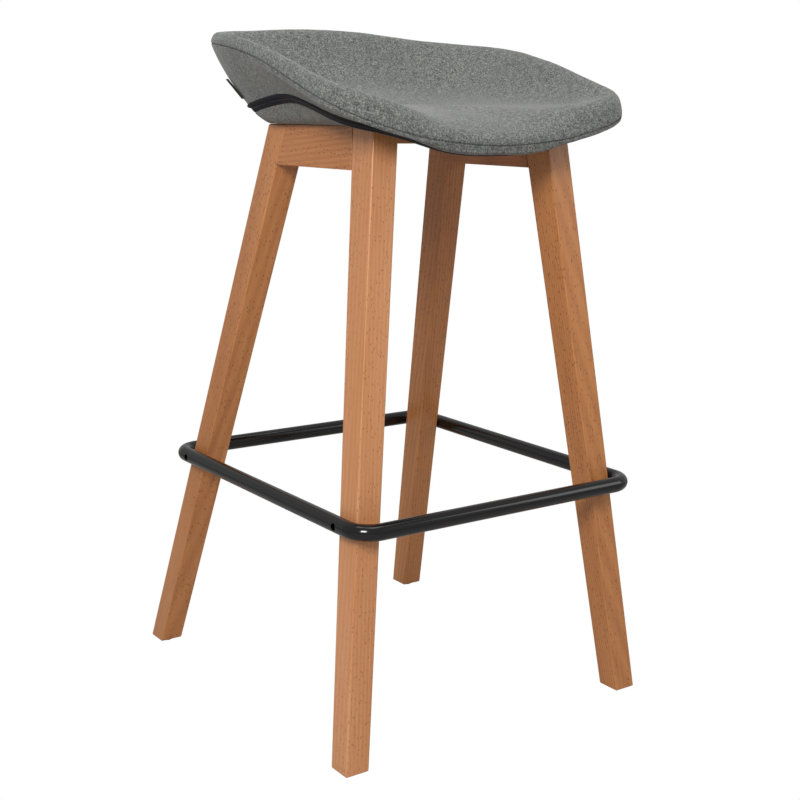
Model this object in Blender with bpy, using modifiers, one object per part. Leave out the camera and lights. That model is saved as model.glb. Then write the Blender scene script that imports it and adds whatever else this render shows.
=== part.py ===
"""Bar stool with a square tube footrest: wooden frame, upholstered scoop seat.

Row frame: metres, +Z up, -Y is the way a sitter faces, X is across the seat.
The origin is on the floor, under the middle of the stool's bounding box.
Run with: blender --background --python part.py
"""

import math

import bmesh
import bpy
from mathutils import Matrix, Vector

# ---- fits -------------------------------------------------------------------
GAP = 0.0003            # clearance between touching pieces
LAYER_GAP = 0.0006      # clearance between the seat's curved layers
CUT_OVER = 0.002        # how far a cutter runs past the face that it opens

# ---- wooden frame -----------------------------------------------------------
GLIDE_HEIGHT = 0.004    # underside of a leg above the floor
FRAME_TOP = 0.726       # top face of the frame, where the seat rests
TOP_HALF_WIDTH = 0.1422     # outer side face of a leg, at the frame top
TOP_HALF_DEPTH = 0.1163     # outer front or rear face of a leg, at the frame top
SIDE_TILT = math.radians(6.68)      # lean of both side frames, outwards
FRONT_SPLAY = math.radians(6.37)    # forward rake of the front legs
REAR_SPLAY = math.radians(15.42)    # backward rake of the rear legs
LEG_TOP_THICKNESS = 0.034   # across the stool
LEG_TOP_DEPTH = 0.043       # front to back
LEG_FOOT_THICKNESS = 0.0315
LEG_FOOT_DEPTH = 0.032
ARRIS = 0.0018              # softened edges of the timber
RAIL_HEIGHT = 0.049
CROSS_RAIL_HEIGHT = 0.020
CROSS_RAIL_WIDTH = 0.048
CROSS_RAIL_Y = 0.036        # centre of each cross rail from the frame's centre
DOWEL_RADIUS = 0.004
DOWEL_LENGTH = 0.036
RAIL_DOWEL_DROPS = (0.015, 0.035)   # below the frame top
CROSS_DOWEL_OFFSETS = (-0.010, 0.010)

# ---- footrest ring ----------------------------------------------------------
RING_HEIGHT = 0.2858
TUBE_RADIUS = 0.0098
TUBE_WALL = 0.0015
RING_SIDE_CLEAR = 0.0008    # tube to the legs' outer faces
RING_BEND = 0.027           # bend radius of the tube's centre line
RING_FRONT_CLEAR = 0.0156   # tube to the front legs' front faces
RING_REAR_CLEAR = 0.0130    # tube to the rear legs' rear faces
SCREW_RADIUS = 0.002
SCREW_HEAD_RADIUS = 0.0037
SCREW_HEAD_HEIGHT = 0.0030
SCREW_LENGTH = 0.024
ACCESS_RADIUS = 0.0045      # hole in the tube's outer wall

# ---- glides -----------------------------------------------------------------
GLIDE_RADIUS = 0.0085
GLIDE_PIN_RADIUS = 0.0014
GLIDE_PIN_LENGTH = 0.014

# ---- seat plan --------------------------------------------------------------
SEAT_HALF_WIDTH = 0.2166
SEAT_FRONT = 0.1650         # seam line, forward of the frame's centre
SEAT_REAR = 0.2080          # seam line, behind the frame's centre
FRONT_SQUARENESS = 8.6      # exponent of the outline's front corners
REAR_SQUARENESS = 4.2       # exponent of the outline's rear corners

# ---- seat layers ------------------------------------------------------------
COVER = 0.0015
SHELL = 0.0040
POINTS_AROUND = 48
CORNER_PULL = 6.0       # degrees by which sections crowd towards the corners

# ---- seat section -----------------------------------------------------------
# Bearings are degrees round from the seat's front. Heights are above the frame
# top, insets are towards the middle from the seam line; all in millimetres.
BEARINGS = (0, 25, 50, 90, 130, 180)
SEAM_HEIGHTS = ((0, -20), (30, -13), (45, 2), (60, 28), (90, 70), (120, 93), (180, 105))
FLAT_EDGE_INSET = (47, 52, 65, 70, 74, 90)
BELLY = ((32, 36, 49, 56, 62, 70), (-14, -11, 0.5, 8, 6, 7))
ZIP_LOW = ((19, 23, 33, 43, 53, 52), (-32, -27.5, -5, 24, 13, 14))
ZIP_HIGH = ((10, 12, 26, 34, 46, 44), (-31, -26.5, 2, 33, 21, 22))
WALL = ((2.5, 3, 9, 12, 17, 18), (-28, -24, 4, 54, 61, 63))
CREST_RISE = (13, 13.5, 20, 14.5, 12.5, 17)
LIP = ((18, 18, 16, 15, 17, 17), (0, 5, 36, 81.5, 104.5, 118))
INNER_WALL = ((32, 33, 30, 26, 33, 32), (6, 10, 33, 65, 86, 95))
CREASE = ((48, 50, 48, 42, 58, 54), (11, 14, 30, 47, 59, 65))
PAN_RIM = ((60, 66, 62, 60, 74, 72), (14, 17, 27, 35, 46, 50))
PAN = ((84, 92, 98, 92, 112, 108), (19, 21, 25, 28, 33, 36))
PAN_CENTRE_HEIGHT = 24
INNER_SHARE = 0.36          # radius of the innermost loop, as a share of the plan

# ---- seat fixings -----------------------------------------------------------
BOLT_X = 0.075
BOLT_RADIUS = 0.003
BOLT_LENGTH = 0.030
BOLT_HEAD_RADIUS = 0.0055
BOLT_HEAD_HEIGHT = 0.0030
WASHER_RADIUS = 0.009
WASHER_HEIGHT = 0.0012
NUT_BARREL_RADIUS = 0.0042
NUT_FLANGE_RADIUS = 0.009
NUT_FLANGE_HEIGHT = 0.0015

# ---- trims ------------------------------------------------------------------
PIPING_RADIUS = 0.0018
PIPING_ROOM = 0.0009         # from the piping to the cover edges beside it
LABEL_BEARING = -126
LABEL_SIZE = (0.024, 0.0012, 0.030)     # along the wall, through it, up it
LABEL_TILT = math.radians(3.5)          # the tab leans off the wall towards its top
LABEL_LIFT = 0.0019                     # middle of the tab's back from the wall
SLIDER_SIZE = (0.006, 0.0022, 0.0085)
PULL_SIZE = (0.0045, 0.0012, 0.018)

# ---- colours (linear) -------------------------------------------------------
BEECH = (0.46, 0.20, 0.075)
FELT = (0.165, 0.17, 0.165)
NAVY = (0.008, 0.009, 0.014)
BLACK_POWDER = (0.008, 0.008, 0.009)
ZINC = (0.45, 0.45, 0.46)
FOAM_YELLOW = (0.75, 0.66, 0.42)
SHELL_BLACK = (0.03, 0.03, 0.032)
GLIDE_BROWN = (0.05, 0.035, 0.025)

SIDES = {"left": 1, "right": -1}
ENDS = {"front": -1, "rear": 1}


def leg_bottom():
    return GLIDE_HEIGHT


def splay(end):
    return math.tan(FRONT_SPLAY if end < 0 else REAR_SPLAY)


def drop_share(z):
    """0 at the frame top, 1 at the underside of a leg."""
    return (FRAME_TOP - z) / (FRAME_TOP - leg_bottom())


def outer_x(z):
    return TOP_HALF_WIDTH + (FRAME_TOP - z) * math.tan(SIDE_TILT)


def timber_thickness(z):
    return LEG_TOP_THICKNESS + (LEG_FOOT_THICKNESS - LEG_TOP_THICKNESS) * drop_share(z)


def outer_y(z, end):
    """Distance of a leg's front or rear face from the frame's centre."""
    return TOP_HALF_DEPTH + (FRAME_TOP - z) * splay(end)


def leg_depth(z):
    return LEG_TOP_DEPTH + (LEG_FOOT_DEPTH - LEG_TOP_DEPTH) * drop_share(z)


def frame_centre_y():
    """Puts the origin midway between the front and the rear feet."""
    foot = leg_bottom()
    return (outer_y(foot, -1) - outer_y(foot, 1)) / 2


FRAME_Y = frame_centre_y()


def leg_centre(side, end, z):
    x = outer_x(z) - timber_thickness(z) / 2
    y = outer_y(z, end) - leg_depth(z) / 2
    return Vector((side * x, FRAME_Y + end * y, z))


# ---- Blender helpers --------------------------------------------------------

def fresh_scene():
    for thing in list(bpy.data.objects):
        bpy.data.objects.remove(thing, do_unlink=True)
    parts = bpy.data.collections.new("bar_stool")
    cutters = bpy.data.collections.new("cutters")
    bpy.context.scene.collection.children.link(parts)
    bpy.context.scene.collection.children.link(cutters)
    return parts, cutters


PARTS, CUTTERS = fresh_scene()
MATERIALS = {}


def material(name, colour, roughness, metallic=0.0):
    if name not in MATERIALS:
        made = bpy.data.materials.new(name)
        made.use_nodes = True
        shader = made.node_tree.nodes["Principled BSDF"]
        shader.inputs["Base Color"].default_value = (*colour, 1.0)
        shader.inputs["Roughness"].default_value = roughness
        shader.inputs["Metallic"].default_value = metallic
        made.diffuse_color = (*colour, 1.0)
        MATERIALS[name] = made
    return MATERIALS[name]


def beech():
    return material("beech", BEECH, 0.45)


def felt():
    return material("grey_felt", FELT, 0.95)


def navy_tape():
    return material("navy_tape", NAVY, 0.6)


def black_powder():
    return material("black_powder_coat", BLACK_POWDER, 0.22)


def zinc():
    return material("zinc_steel", ZINC, 0.35, 1.0)


def foam():
    return material("foam", FOAM_YELLOW, 0.95)


def shell_plastic():
    return material("shell_plastic", SHELL_BLACK, 0.5)


def glide_plastic():
    return material("glide_plastic", GLIDE_BROWN, 0.5)


def add_object(name, mesh, finish, collection=None):
    thing = bpy.data.objects.new(name, mesh)
    (collection or PARTS).objects.link(thing)
    if finish:
        mesh.materials.append(finish)
    return thing


def mesh_from(bm, name):
    bmesh.ops.recalc_face_normals(bm, faces=bm.faces)
    mesh = bpy.data.meshes.new(name)
    bm.to_mesh(mesh)
    bm.free()
    return mesh


def round_shading(thing):
    thing.data.shade_smooth()
    thing.data.set_sharp_from_angle(angle=math.radians(35))


def apply_modifiers(thing):
    """Replaces the object's mesh by its evaluated one."""
    bpy.context.view_layer.update()
    graph = bpy.context.evaluated_depsgraph_get()
    made = bpy.data.meshes.new_from_object(thing.evaluated_get(graph))
    thing.modifiers.clear()
    thing.data = made


def as_cutter(thing):
    thing.hide_render = True
    thing.display_type = "WIRE"
    return thing


def cylinder_mesh(name, radius, length, sides=16):
    bm = bmesh.new()
    bmesh.ops.create_cone(bm, cap_ends=True, segments=sides,
                          radius1=radius, radius2=radius, depth=length)
    return mesh_from(bm, name)


def place_along(thing, start, direction, length):
    """Puts a cylinder's ends at start and start + direction * length."""
    turn = Vector((0, 0, 1)).rotation_difference(Vector(direction))
    thing.rotation_mode = "QUATERNION"
    thing.rotation_quaternion = turn
    thing.location = Vector(start) + Vector(direction) * (length / 2)
    return thing


def add_rod(name, finish, radius, start, direction, length, sides=16):
    rod = add_object(name, cylinder_mesh(name, radius, length, sides), finish)
    round_shading(rod)
    return place_along(rod, start, direction, length)


def drill(target, name, radius, start, direction, length, sides=16):
    """Cuts a round hole from start along direction."""
    bit = add_object(name, cylinder_mesh(name, radius, length, sides), None, CUTTERS)
    as_cutter(place_along(bit, start, direction, length))
    cut = target.modifiers.new(name, "BOOLEAN")
    cut.operation = "DIFFERENCE"
    cut.solver = "EXACT"
    cut.object = bit


def soften(thing, width, segments=2):
    edge = thing.modifiers.new("arris", "BEVEL")
    edge.width = width
    edge.segments = segments
    edge.limit_method = "ANGLE"
    edge.angle_limit = math.radians(40)


def block_between(name, finish, corner_at):
    """A box whose corners are given by corner_at(x sign, y sign, z sign)."""
    bm = bmesh.new()
    bmesh.ops.create_cube(bm, size=2.0)
    for vertex in bm.verts:
        signs = [1 if value > 0 else -1 for value in vertex.co]
        vertex.co = corner_at(*signs)
    return add_object(name, mesh_from(bm, name), finish)


def turned(name, finish, profile, steps=20):
    """A solid of revolution about Z from (radius, height) points, top to bottom."""
    mesh = bpy.data.meshes.new(name)
    points = [(radius, 0.0, height) for radius, height in profile]
    edges = [(i, i + 1) for i in range(len(points) - 1)]
    if profile[0][0] > 0:
        edges.append((len(points) - 1, 0))
    mesh.from_pydata(points, edges, [])
    thing = add_object(name, mesh, finish)
    spin = thing.modifiers.new("turn", "SCREW")
    spin.axis = "Z"
    spin.steps = steps
    spin.render_steps = steps
    spin.use_merge_vertices = True
    spin.merge_threshold = 0.00001
    spin.use_smooth_shade = False
    return thing


# ---- wooden frame -----------------------------------------------------------

def make_leg(side_name, end_name):
    side, end = SIDES[side_name], ENDS[end_name]

    def corner(x_sign, y_sign, z_sign):
        z = FRAME_TOP if z_sign > 0 else leg_bottom()
        x = outer_x(z) - (0 if x_sign == side else timber_thickness(z))
        y = outer_y(z, end) - (0 if y_sign == end else leg_depth(z))
        return Vector((side * x, FRAME_Y + end * y, z))

    leg = block_between(f"leg_{end_name}_{side_name}", beech(), corner)
    soften(leg, ARRIS)
    return leg


def make_side_rail(side_name):
    side = SIDES[side_name]

    def corner(x_sign, y_sign, z_sign):
        z = FRAME_TOP if z_sign > 0 else FRAME_TOP - RAIL_HEIGHT
        x = outer_x(z) - (0 if x_sign == side else timber_thickness(z))
        y = outer_y(z, y_sign) - leg_depth(z) - GAP
        return Vector((side * x, FRAME_Y + y_sign * y, z))

    rail = block_between(f"side_rail_{side_name}", beech(), corner)
    soften(rail, ARRIS / 3, 1)
    return rail


def make_cross_rail(end_name):
    end = ENDS[end_name]

    def corner(x_sign, y_sign, z_sign):
        z = FRAME_TOP if z_sign > 0 else FRAME_TOP - CROSS_RAIL_HEIGHT
        x = outer_x(z) - timber_thickness(z) - GAP
        y = end * CROSS_RAIL_Y + y_sign * CROSS_RAIL_WIDTH / 2
        return Vector((x_sign * x, FRAME_Y + y, z))

    return block_between(f"cross_rail_{end_name}", beech(), corner)


def join_with_dowel(name, first, second, middle, direction):
    """A dowel centred on a joint, in a blind hole in each of the two pieces."""
    hole = DOWEL_RADIUS + GAP
    length = DOWEL_LENGTH + 2 * GAP
    start = Vector(middle) - Vector(direction) * (length / 2)
    drill(first, f"{name}_hole_a", hole, start, direction, length, 12)
    drill(second, f"{name}_hole_b", hole, start, direction, length, 12)
    add_rod(name, beech(), DOWEL_RADIUS,
            Vector(middle) - Vector(direction) * (DOWEL_LENGTH / 2),
            direction, DOWEL_LENGTH, 12)


def dowel_side_frame(side_name, rail, legs):
    side = SIDES[side_name]
    for end_name, end in ENDS.items():
        for level, drop in zip(("upper", "lower"), RAIL_DOWEL_DROPS):
            z = FRAME_TOP - drop
            x = side * (outer_x(z) - timber_thickness(z) / 2)
            y = FRAME_Y + end * (outer_y(z, end) - leg_depth(z))
            name = f"dowel_{end_name}_{side_name}_{level}"
            join_with_dowel(name, rail, legs[end_name], (x, y, z), (0, end, 0))


def dowel_cross_rail(end_name, cross_rail, rails):
    z = FRAME_TOP - CROSS_RAIL_HEIGHT / 2
    for side_name, side in SIDES.items():
        for place, offset in zip(("front", "rear"), CROSS_DOWEL_OFFSETS):
            x = side * (outer_x(z) - timber_thickness(z))
            y = FRAME_Y + ENDS[end_name] * CROSS_RAIL_Y + offset
            name = f"cross_dowel_{end_name}_{side_name}_{place}"
            join_with_dowel(name, cross_rail, rails[side_name], (x, y, z), (side, 0, 0))


def fit_glide(side_name, end_name, leg):
    side, end = SIDES[side_name], ENDS[end_name]
    spot = leg_centre(side, end, leg_bottom())
    head = GLIDE_HEIGHT - GAP
    edge = GLIDE_RADIUS * 0.8
    top = head + GLIDE_PIN_LENGTH
    glide = turned(f"glide_{end_name}_{side_name}", glide_plastic(),
                   [(0, top), (GLIDE_PIN_RADIUS, top), (GLIDE_PIN_RADIUS, head),
                    (GLIDE_RADIUS, head), (GLIDE_RADIUS, head * 0.45), (edge, 0), (0, 0)])
    glide.location = (spot.x, spot.y, 0)
    drill(leg, f"glide_hole_{end_name}_{side_name}", GLIDE_PIN_RADIUS + GAP,
          (spot.x, spot.y, leg_bottom() - CUT_OVER), (0, 0, 1),
          CUT_OVER + GLIDE_PIN_LENGTH + GAP, 20)


def make_frame():
    legs = {side: {end: make_leg(side, end) for end in ENDS} for side in SIDES}
    rails = {side: make_side_rail(side) for side in SIDES}
    cross_rails = {end: make_cross_rail(end) for end in ENDS}
    for side_name in SIDES:
        dowel_side_frame(side_name, rails[side_name], legs[side_name])
        for end_name in ENDS:
            fit_glide(side_name, end_name, legs[side_name][end_name])
    for end_name in ENDS:
        dowel_cross_rail(end_name, cross_rails[end_name], rails)
    return legs, cross_rails


# ---- footrest ring ----------------------------------------------------------

def ring_half_width():
    return outer_x(RING_HEIGHT) + TUBE_RADIUS / math.cos(SIDE_TILT) + RING_SIDE_CLEAR


def ring_reach(end):
    clear = RING_FRONT_CLEAR if end < 0 else RING_REAR_CLEAR
    return outer_y(RING_HEIGHT, end) + clear + TUBE_RADIUS


def ring_path(corner_steps=7):
    """Centre line of the ring: a rectangle with four quarter-circle bends."""
    half_width = ring_half_width()
    points = []
    for x_sign, end, start in ((1, 1, 0), (-1, 1, 90), (-1, -1, 180), (1, -1, 270)):
        centre_x = x_sign * (half_width - RING_BEND)
        centre_y = FRAME_Y + end * (ring_reach(end) - RING_BEND)
        for step in range(corner_steps + 1):
            angle = math.radians(start + 90 * step / corner_steps)
            points.append((centre_x + RING_BEND * math.cos(angle),
                           centre_y + RING_BEND * math.sin(angle), RING_HEIGHT))
    return points


def tube_along(name, points, radius, finish, collection, resolution):
    curve = bpy.data.curves.new(name, "CURVE")
    curve.dimensions = "3D"
    curve.bevel_depth = radius
    curve.bevel_resolution = resolution
    curve.use_fill_caps = True
    line = curve.splines.new("POLY")
    line.points.add(len(points) - 1)
    for point, place in zip(line.points, points):
        point.co = (*place, 1.0)
    line.use_cyclic_u = True
    path = bpy.data.objects.new(name + "_path", curve)
    collection.objects.link(path)
    bpy.context.view_layer.update()
    graph = bpy.context.evaluated_depsgraph_get()
    mesh = bpy.data.meshes.new_from_object(path.evaluated_get(graph))
    mesh.name = name
    bm = bmesh.new()
    bm.from_mesh(mesh)
    bmesh.ops.remove_doubles(bm, verts=bm.verts, dist=0.00001)
    bmesh.ops.recalc_face_normals(bm, faces=bm.faces)
    bm.to_mesh(mesh)
    bm.free()
    mesh.materials.clear()
    tube = add_object(name, mesh, finish, collection)
    tube.matrix_world = path.matrix_world
    bpy.data.objects.remove(path, do_unlink=True)
    return tube


def make_footrest(legs):
    ring = tube_along("footrest_ring", ring_path(), TUBE_RADIUS, black_powder(), PARTS, 4)
    bore = as_cutter(tube_along("footrest_bore", ring_path(), TUBE_RADIUS - TUBE_WALL,
                                None, CUTTERS, 4))
    hollow = ring.modifiers.new("bore", "BOOLEAN")
    hollow.operation = "DIFFERENCE"
    hollow.solver = "EXACT"
    hollow.object = bore
    for side_name, side in SIDES.items():
        for end_name, end in ENDS.items():
            fasten_ring(ring, legs[side_name][end_name], side_name, end_name)
    round_shading(ring)


def fasten_ring(ring, leg, side_name, end_name):
    """A screw whose head sits inside the tube and whose shank bites into the leg."""
    side, end = SIDES[side_name], ENDS[end_name]
    y = leg_centre(side, end, RING_HEIGHT).y
    tube_x = ring_half_width()
    inwards = (-side, 0, 0)
    tag = f"{end_name}_{side_name}"
    seat_x = tube_x - (TUBE_RADIUS - TUBE_WALL) + GAP
    top_x = seat_x + SCREW_HEAD_HEIGHT
    screw = turned(f"footrest_screw_{tag}", zinc(),
                   [(0, SCREW_HEAD_HEIGHT), (SCREW_HEAD_RADIUS * 0.7, SCREW_HEAD_HEIGHT),
                    (SCREW_HEAD_RADIUS, SCREW_HEAD_HEIGHT * 0.4), (SCREW_HEAD_RADIUS, 0.0008),
                    (SCREW_RADIUS, 0.0008), (SCREW_RADIUS, 0.004 - SCREW_LENGTH),
                    (0, -SCREW_LENGTH)], 16)
    screw.rotation_euler = (0, side * math.radians(90), 0)
    screw.location = (side * seat_x, y, RING_HEIGHT)
    drill(ring, f"screw_hole_{tag}", SCREW_RADIUS + GAP, (side * tube_x, y, RING_HEIGHT),
          inwards, TUBE_RADIUS + CUT_OVER)
    drill(ring, f"access_hole_{tag}", ACCESS_RADIUS,
          (side * (tube_x + TUBE_RADIUS + CUT_OVER), y, RING_HEIGHT),
          inwards, TUBE_RADIUS + CUT_OVER)
    drill(leg, f"leg_pilot_{tag}", SCREW_RADIUS + GAP, (side * top_x, y, RING_HEIGHT),
          inwards, SCREW_HEAD_HEIGHT + SCREW_LENGTH + GAP)


# ---- seat -------------------------------------------------------------------

def smooth_between(knots, bearing):
    """Cubic through (bearing, value) knots, level at the first and last."""
    turn = abs((bearing + 180) % 360 - 180)
    angles = [knot[0] for knot in knots]
    values = [knot[1] for knot in knots]
    slopes = [0.0] * len(knots)
    for i in range(1, len(knots) - 1):
        slopes[i] = (values[i + 1] - values[i - 1]) / (angles[i + 1] - angles[i - 1])
    i = max(k for k in range(len(knots) - 1) if angles[k] <= turn)
    span = angles[i + 1] - angles[i]
    t = (turn - angles[i]) / span
    ease = t * t * (3 - 2 * t)
    lead = t * (1 - t) * (1 - t) * span * slopes[i]
    trail = t * t * (1 - t) * span * slopes[i + 1]
    return values[i] + (values[i + 1] - values[i]) * ease + lead - trail


def around(values, bearing):
    return smooth_between(list(zip(BEARINGS, values)), bearing)


def plan_radius(bearing):
    """Distance from the frame's centre to the seam line, along a bearing."""
    angle = math.radians(bearing)
    across, along = math.sin(angle), math.cos(angle)
    rear_share = min(1.0, max(0.0, (abs((bearing + 180) % 360 - 180) - 60) / 60))
    power = FRONT_SQUARENESS + (REAR_SQUARENESS - FRONT_SQUARENESS) * rear_share
    reach = SEAT_FRONT if along > 0 else SEAT_REAR
    total = abs(across / SEAT_HALF_WIDTH) ** power + abs(along / reach) ** power
    return total ** (-1 / power)


def seat_point(bearing, radius, height):
    angle = math.radians(bearing)
    return Vector((radius * math.sin(angle), FRAME_Y - radius * math.cos(angle),
                   FRAME_TOP + height))


def on_section(bearing, inset, height):
    return seat_point(bearing, plan_radius(bearing) - inset / 1000, height / 1000)


def station(bearing, insets_and_heights):
    insets, heights = insets_and_heights
    return on_section(bearing, around(insets, bearing), around(heights, bearing))


def seam_point(bearing, inset=0.0, rise=0.0):
    height = smooth_between(SEAM_HEIGHTS, bearing) + rise
    return on_section(bearing, inset, height)


def skin(bearing):
    """The seat's outline at one bearing, from under the middle, round the rim, to the top.

    Every layer follows this line at its own depth, so that layers never cross.
    """
    share = plan_radius(bearing) * INNER_SHARE
    return [
        seat_point(bearing, share, GAP),
        on_section(bearing, around(FLAT_EDGE_INSET, bearing), GAP * 1000),
        station(bearing, BELLY),
        station(bearing, ZIP_LOW),
        station(bearing, ZIP_HIGH),
        station(bearing, WALL),
        seam_point(bearing, 1.6, -5.5),
        seam_point(bearing),
        seam_point(bearing, 0.4, 5),
        seam_point(bearing, 6, around(CREST_RISE, bearing)),
        station(bearing, LIP),
        station(bearing, INNER_WALL),
        station(bearing, CREASE),
        station(bearing, PAN_RIM),
        station(bearing, PAN),
        seat_point(bearing, share, (PAN_CENTRE_HEIGHT + 1) / 1000),
    ]


ZIP_LOWER, ZIP_UPPER, WALL_MIDDLE, SHELL_EDGE, SEAM, LIP_INDEX, LAST = 3, 4, 5, 6, 7, 10, 15
FACING = (15, 14, 13, 12, 11, 10, 10, None, None, None, 6, 5, 4, 3, 1, 0)
FRONT_FACING = {1: 12, 2: 11, 3: 10}    # under the front edge, where the underside is steep
FRONT_BEARINGS = (30, 52)


def towards(point, partner, depth):
    return point + (partner - point).normalized() * depth


def partner_of(line, rank, bearing):
    """The point across the seat's thickness that a skin point moves towards."""
    if FACING[rank] is None:
        return (line[SHELL_EDGE] + line[LIP_INDEX]) / 2
    partner = line[FACING[rank]]
    if rank not in FRONT_FACING:
        return partner
    full, none = FRONT_BEARINGS
    turn = abs((bearing + 180) % 360 - 180)
    share = min(1.0, max(0.0, (none - turn) / (none - full)))
    return partner.lerp(line[FRONT_FACING[rank]], share)


def at_depth(bearing, depth, first, last):
    """(rank, point) pairs of the skin from first to last, moved inwards by depth."""
    line = skin(bearing)
    return [(rank, towards(line[rank], partner_of(line, rank, bearing), depth))
            for rank in range(first, last + 1)]


def bearings_around():
    """Bearings of the sections, closest together at the seat's four corners."""
    even = [360 * i / POINTS_AROUND for i in range(POINTS_AROUND)]
    return [turn + CORNER_PULL * math.sin(math.radians(4 * turn)) for turn in even]


def split_strip(bm, near, far):
    """Two triangles between (rank, vertex) pairs of one section and of the next.

    The split runs from the lower rank here to the higher rank there, so that
    two layers which follow each other fold along the same lines.
    """
    (rank_a, a), (rank_b, b) = near
    (_, c), (_, d) = far
    if rank_a < rank_b:
        bm.faces.new((a, b, d))
        bm.faces.new((a, d, c))
    else:
        bm.faces.new((a, b, c))
        bm.faces.new((b, d, c))


def loft(name, finish, sections, poles=()):
    """Joins the sections of all bearings; poles close an open section's two ends.

    sections: one list of (rank, point) pairs for each bearing. With no poles a
    section is a closed outline, otherwise it runs from the first pole to the second.
    """
    bm = bmesh.new()
    rows = [[(rank, bm.verts.new(point)) for rank, point in line] for line in sections]
    count = len(rows[0])
    steps = count - 1 if poles else count
    for line, following in zip(rows, rows[1:] + rows[:1]):
        for i in range(steps):
            j = (i + 1) % count
            split_strip(bm, (line[i], line[j]), (following[i], following[j]))
    for pole, index in zip(poles, (0, -1)):
        tip = bm.verts.new(pole)
        for line, following in zip(rows, rows[1:] + rows[:1]):
            bm.faces.new((tip, line[index][1], following[index][1]))
    thing = add_object(name, mesh_from(bm, name), finish)
    round_shading(thing)
    return thing


def centre_at(height):
    return Vector((0, FRAME_Y, FRAME_TOP + height))


def make_shell():
    """Moulded shell: follows the seat's underside and ends just below the seam."""
    inner, outer = COVER + LAYER_GAP, COVER + LAYER_GAP + SHELL
    lines = [at_depth(b, inner, 0, SHELL_EDGE) + at_depth(b, outer, 0, SHELL_EDGE)[::-1]
             for b in bearings_around()]
    return loft("seat_shell", shell_plastic(), lines,
                (centre_at(GAP + inner), centre_at(GAP + outer)))


def foam_underside():
    return COVER + SHELL + 2 * LAYER_GAP


def make_foam():
    """Foam: lies on the shell, folds over its edge and fills the rim."""
    under, over = foam_underside(), COVER + LAYER_GAP
    lines = [at_depth(b, under, 0, SHELL_EDGE) + at_depth(b, over, SEAM, LAST)
             for b in bearings_around()]
    return loft("foam_pad", foam(), lines,
                (centre_at(GAP + under), centre_at(PAN_CENTRE_HEIGHT / 1000 - over)))


def cover_line(bearing, depth, first, last, start_trim, end_trim=0.0):
    """A cover's line at one depth, with its ends drawn back from its neighbours."""
    line = at_depth(bearing, depth, first, last)
    rank, point = line[0]
    line[0] = (rank, towards(point, line[1][1], start_trim))
    if end_trim:
        rank, point = line[-1]
        line[-1] = (rank, towards(point, line[-2][1], end_trim))
    return line


def cover_ring(name, finish, first, last, start_trim, end_trim=0.0):
    """A cover that runs right round the seat, with a lower and an upper edge."""
    lines = [cover_line(b, 0, first, last, start_trim, end_trim)
             + cover_line(b, COVER, first, last, start_trim, end_trim)[::-1]
             for b in bearings_around()]
    return loft(name, finish, lines)


def make_top_cover():
    lines = [cover_line(b, 0, SEAM, LAST, GAP)[::-1] + cover_line(b, COVER, SEAM, LAST, GAP)
             for b in bearings_around()]
    top = PAN_CENTRE_HEIGHT / 1000
    return loft("top_cover", felt(), lines, (centre_at(top), centre_at(top - COVER)))


def make_side_cover():
    return cover_ring("side_cover", felt(), ZIP_UPPER, SEAM, PIPING_RADIUS + PIPING_ROOM)


def make_bottom_cover():
    lines = [at_depth(b, 0, 0, ZIP_LOWER) + at_depth(b, COVER, 0, ZIP_LOWER)[::-1]
             for b in bearings_around()]
    return loft("bottom_cover", felt(), lines, (centre_at(GAP), centre_at(GAP + COVER)))


def make_zip_tape():
    return cover_ring("zip_tape", navy_tape(), ZIP_LOWER, ZIP_UPPER, GAP, PIPING_RADIUS + PIPING_ROOM)


def make_piping(sides=8):
    """Round cord between the side cover's lower edge and the zip tape."""
    lines = []
    for bearing in bearings_around():
        low, spot, high = (p for _, p in at_depth(bearing, 0, ZIP_LOWER, WALL_MIDDLE))
        inside = at_depth(bearing, COVER, ZIP_UPPER, ZIP_UPPER)[0][1]
        up = (high - low).normalized()
        outwards = (spot - inside).normalized()
        core = inside + outwards * PIPING_RADIUS
        turns = [2 * math.pi * k / sides for k in range(sides)]
        lines.append([(k, core + (up * math.cos(turn) + outwards * math.sin(turn)) * PIPING_RADIUS)
                      for k, turn in enumerate(turns)])
    return loft("piping", navy_tape(), lines)


def wall_frame(bearing, start_index, end_index, share):
    """Place on the outer wall and its axes: along the wall, outwards, up it."""
    def at(angle):
        line = skin(angle)
        return line[start_index].lerp(line[end_index], share)

    line = skin(bearing)
    spot = at(bearing)
    up = (line[end_index] - line[start_index]).normalized()
    along = (at(bearing + 1) - at(bearing - 1)).normalized()
    out = along.cross(up).normalized()
    if out.dot(spot - centre_at(0)) < 0:
        out.negate()
    up = out.cross(along).normalized()
    if up.z < 0:
        up.negate()
    along = out.cross(up).normalized()
    return spot, along, out, up


def plate_on_wall(name, finish, size, frame, lift, slide=0.0, tilt=0.0):
    """A small bevelled plate on the wall, moved up it by slide and leaned out by tilt."""
    spot, along, out, up = frame
    bm = bmesh.new()
    bmesh.ops.create_cube(bm, size=1.0)
    bmesh.ops.scale(bm, vec=size, verts=bm.verts)
    plate = add_object(name, mesh_from(bm, name), finish)
    turn = Matrix((along, out, up)).transposed().to_4x4()
    middle = spot + out * (lift + size[1] / 2) + up * slide
    plate.matrix_world = Matrix.Translation(middle) @ turn @ Matrix.Rotation(tilt, 4, "X")
    soften(plate, min(size) * 0.2, 1)
    return plate


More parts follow.
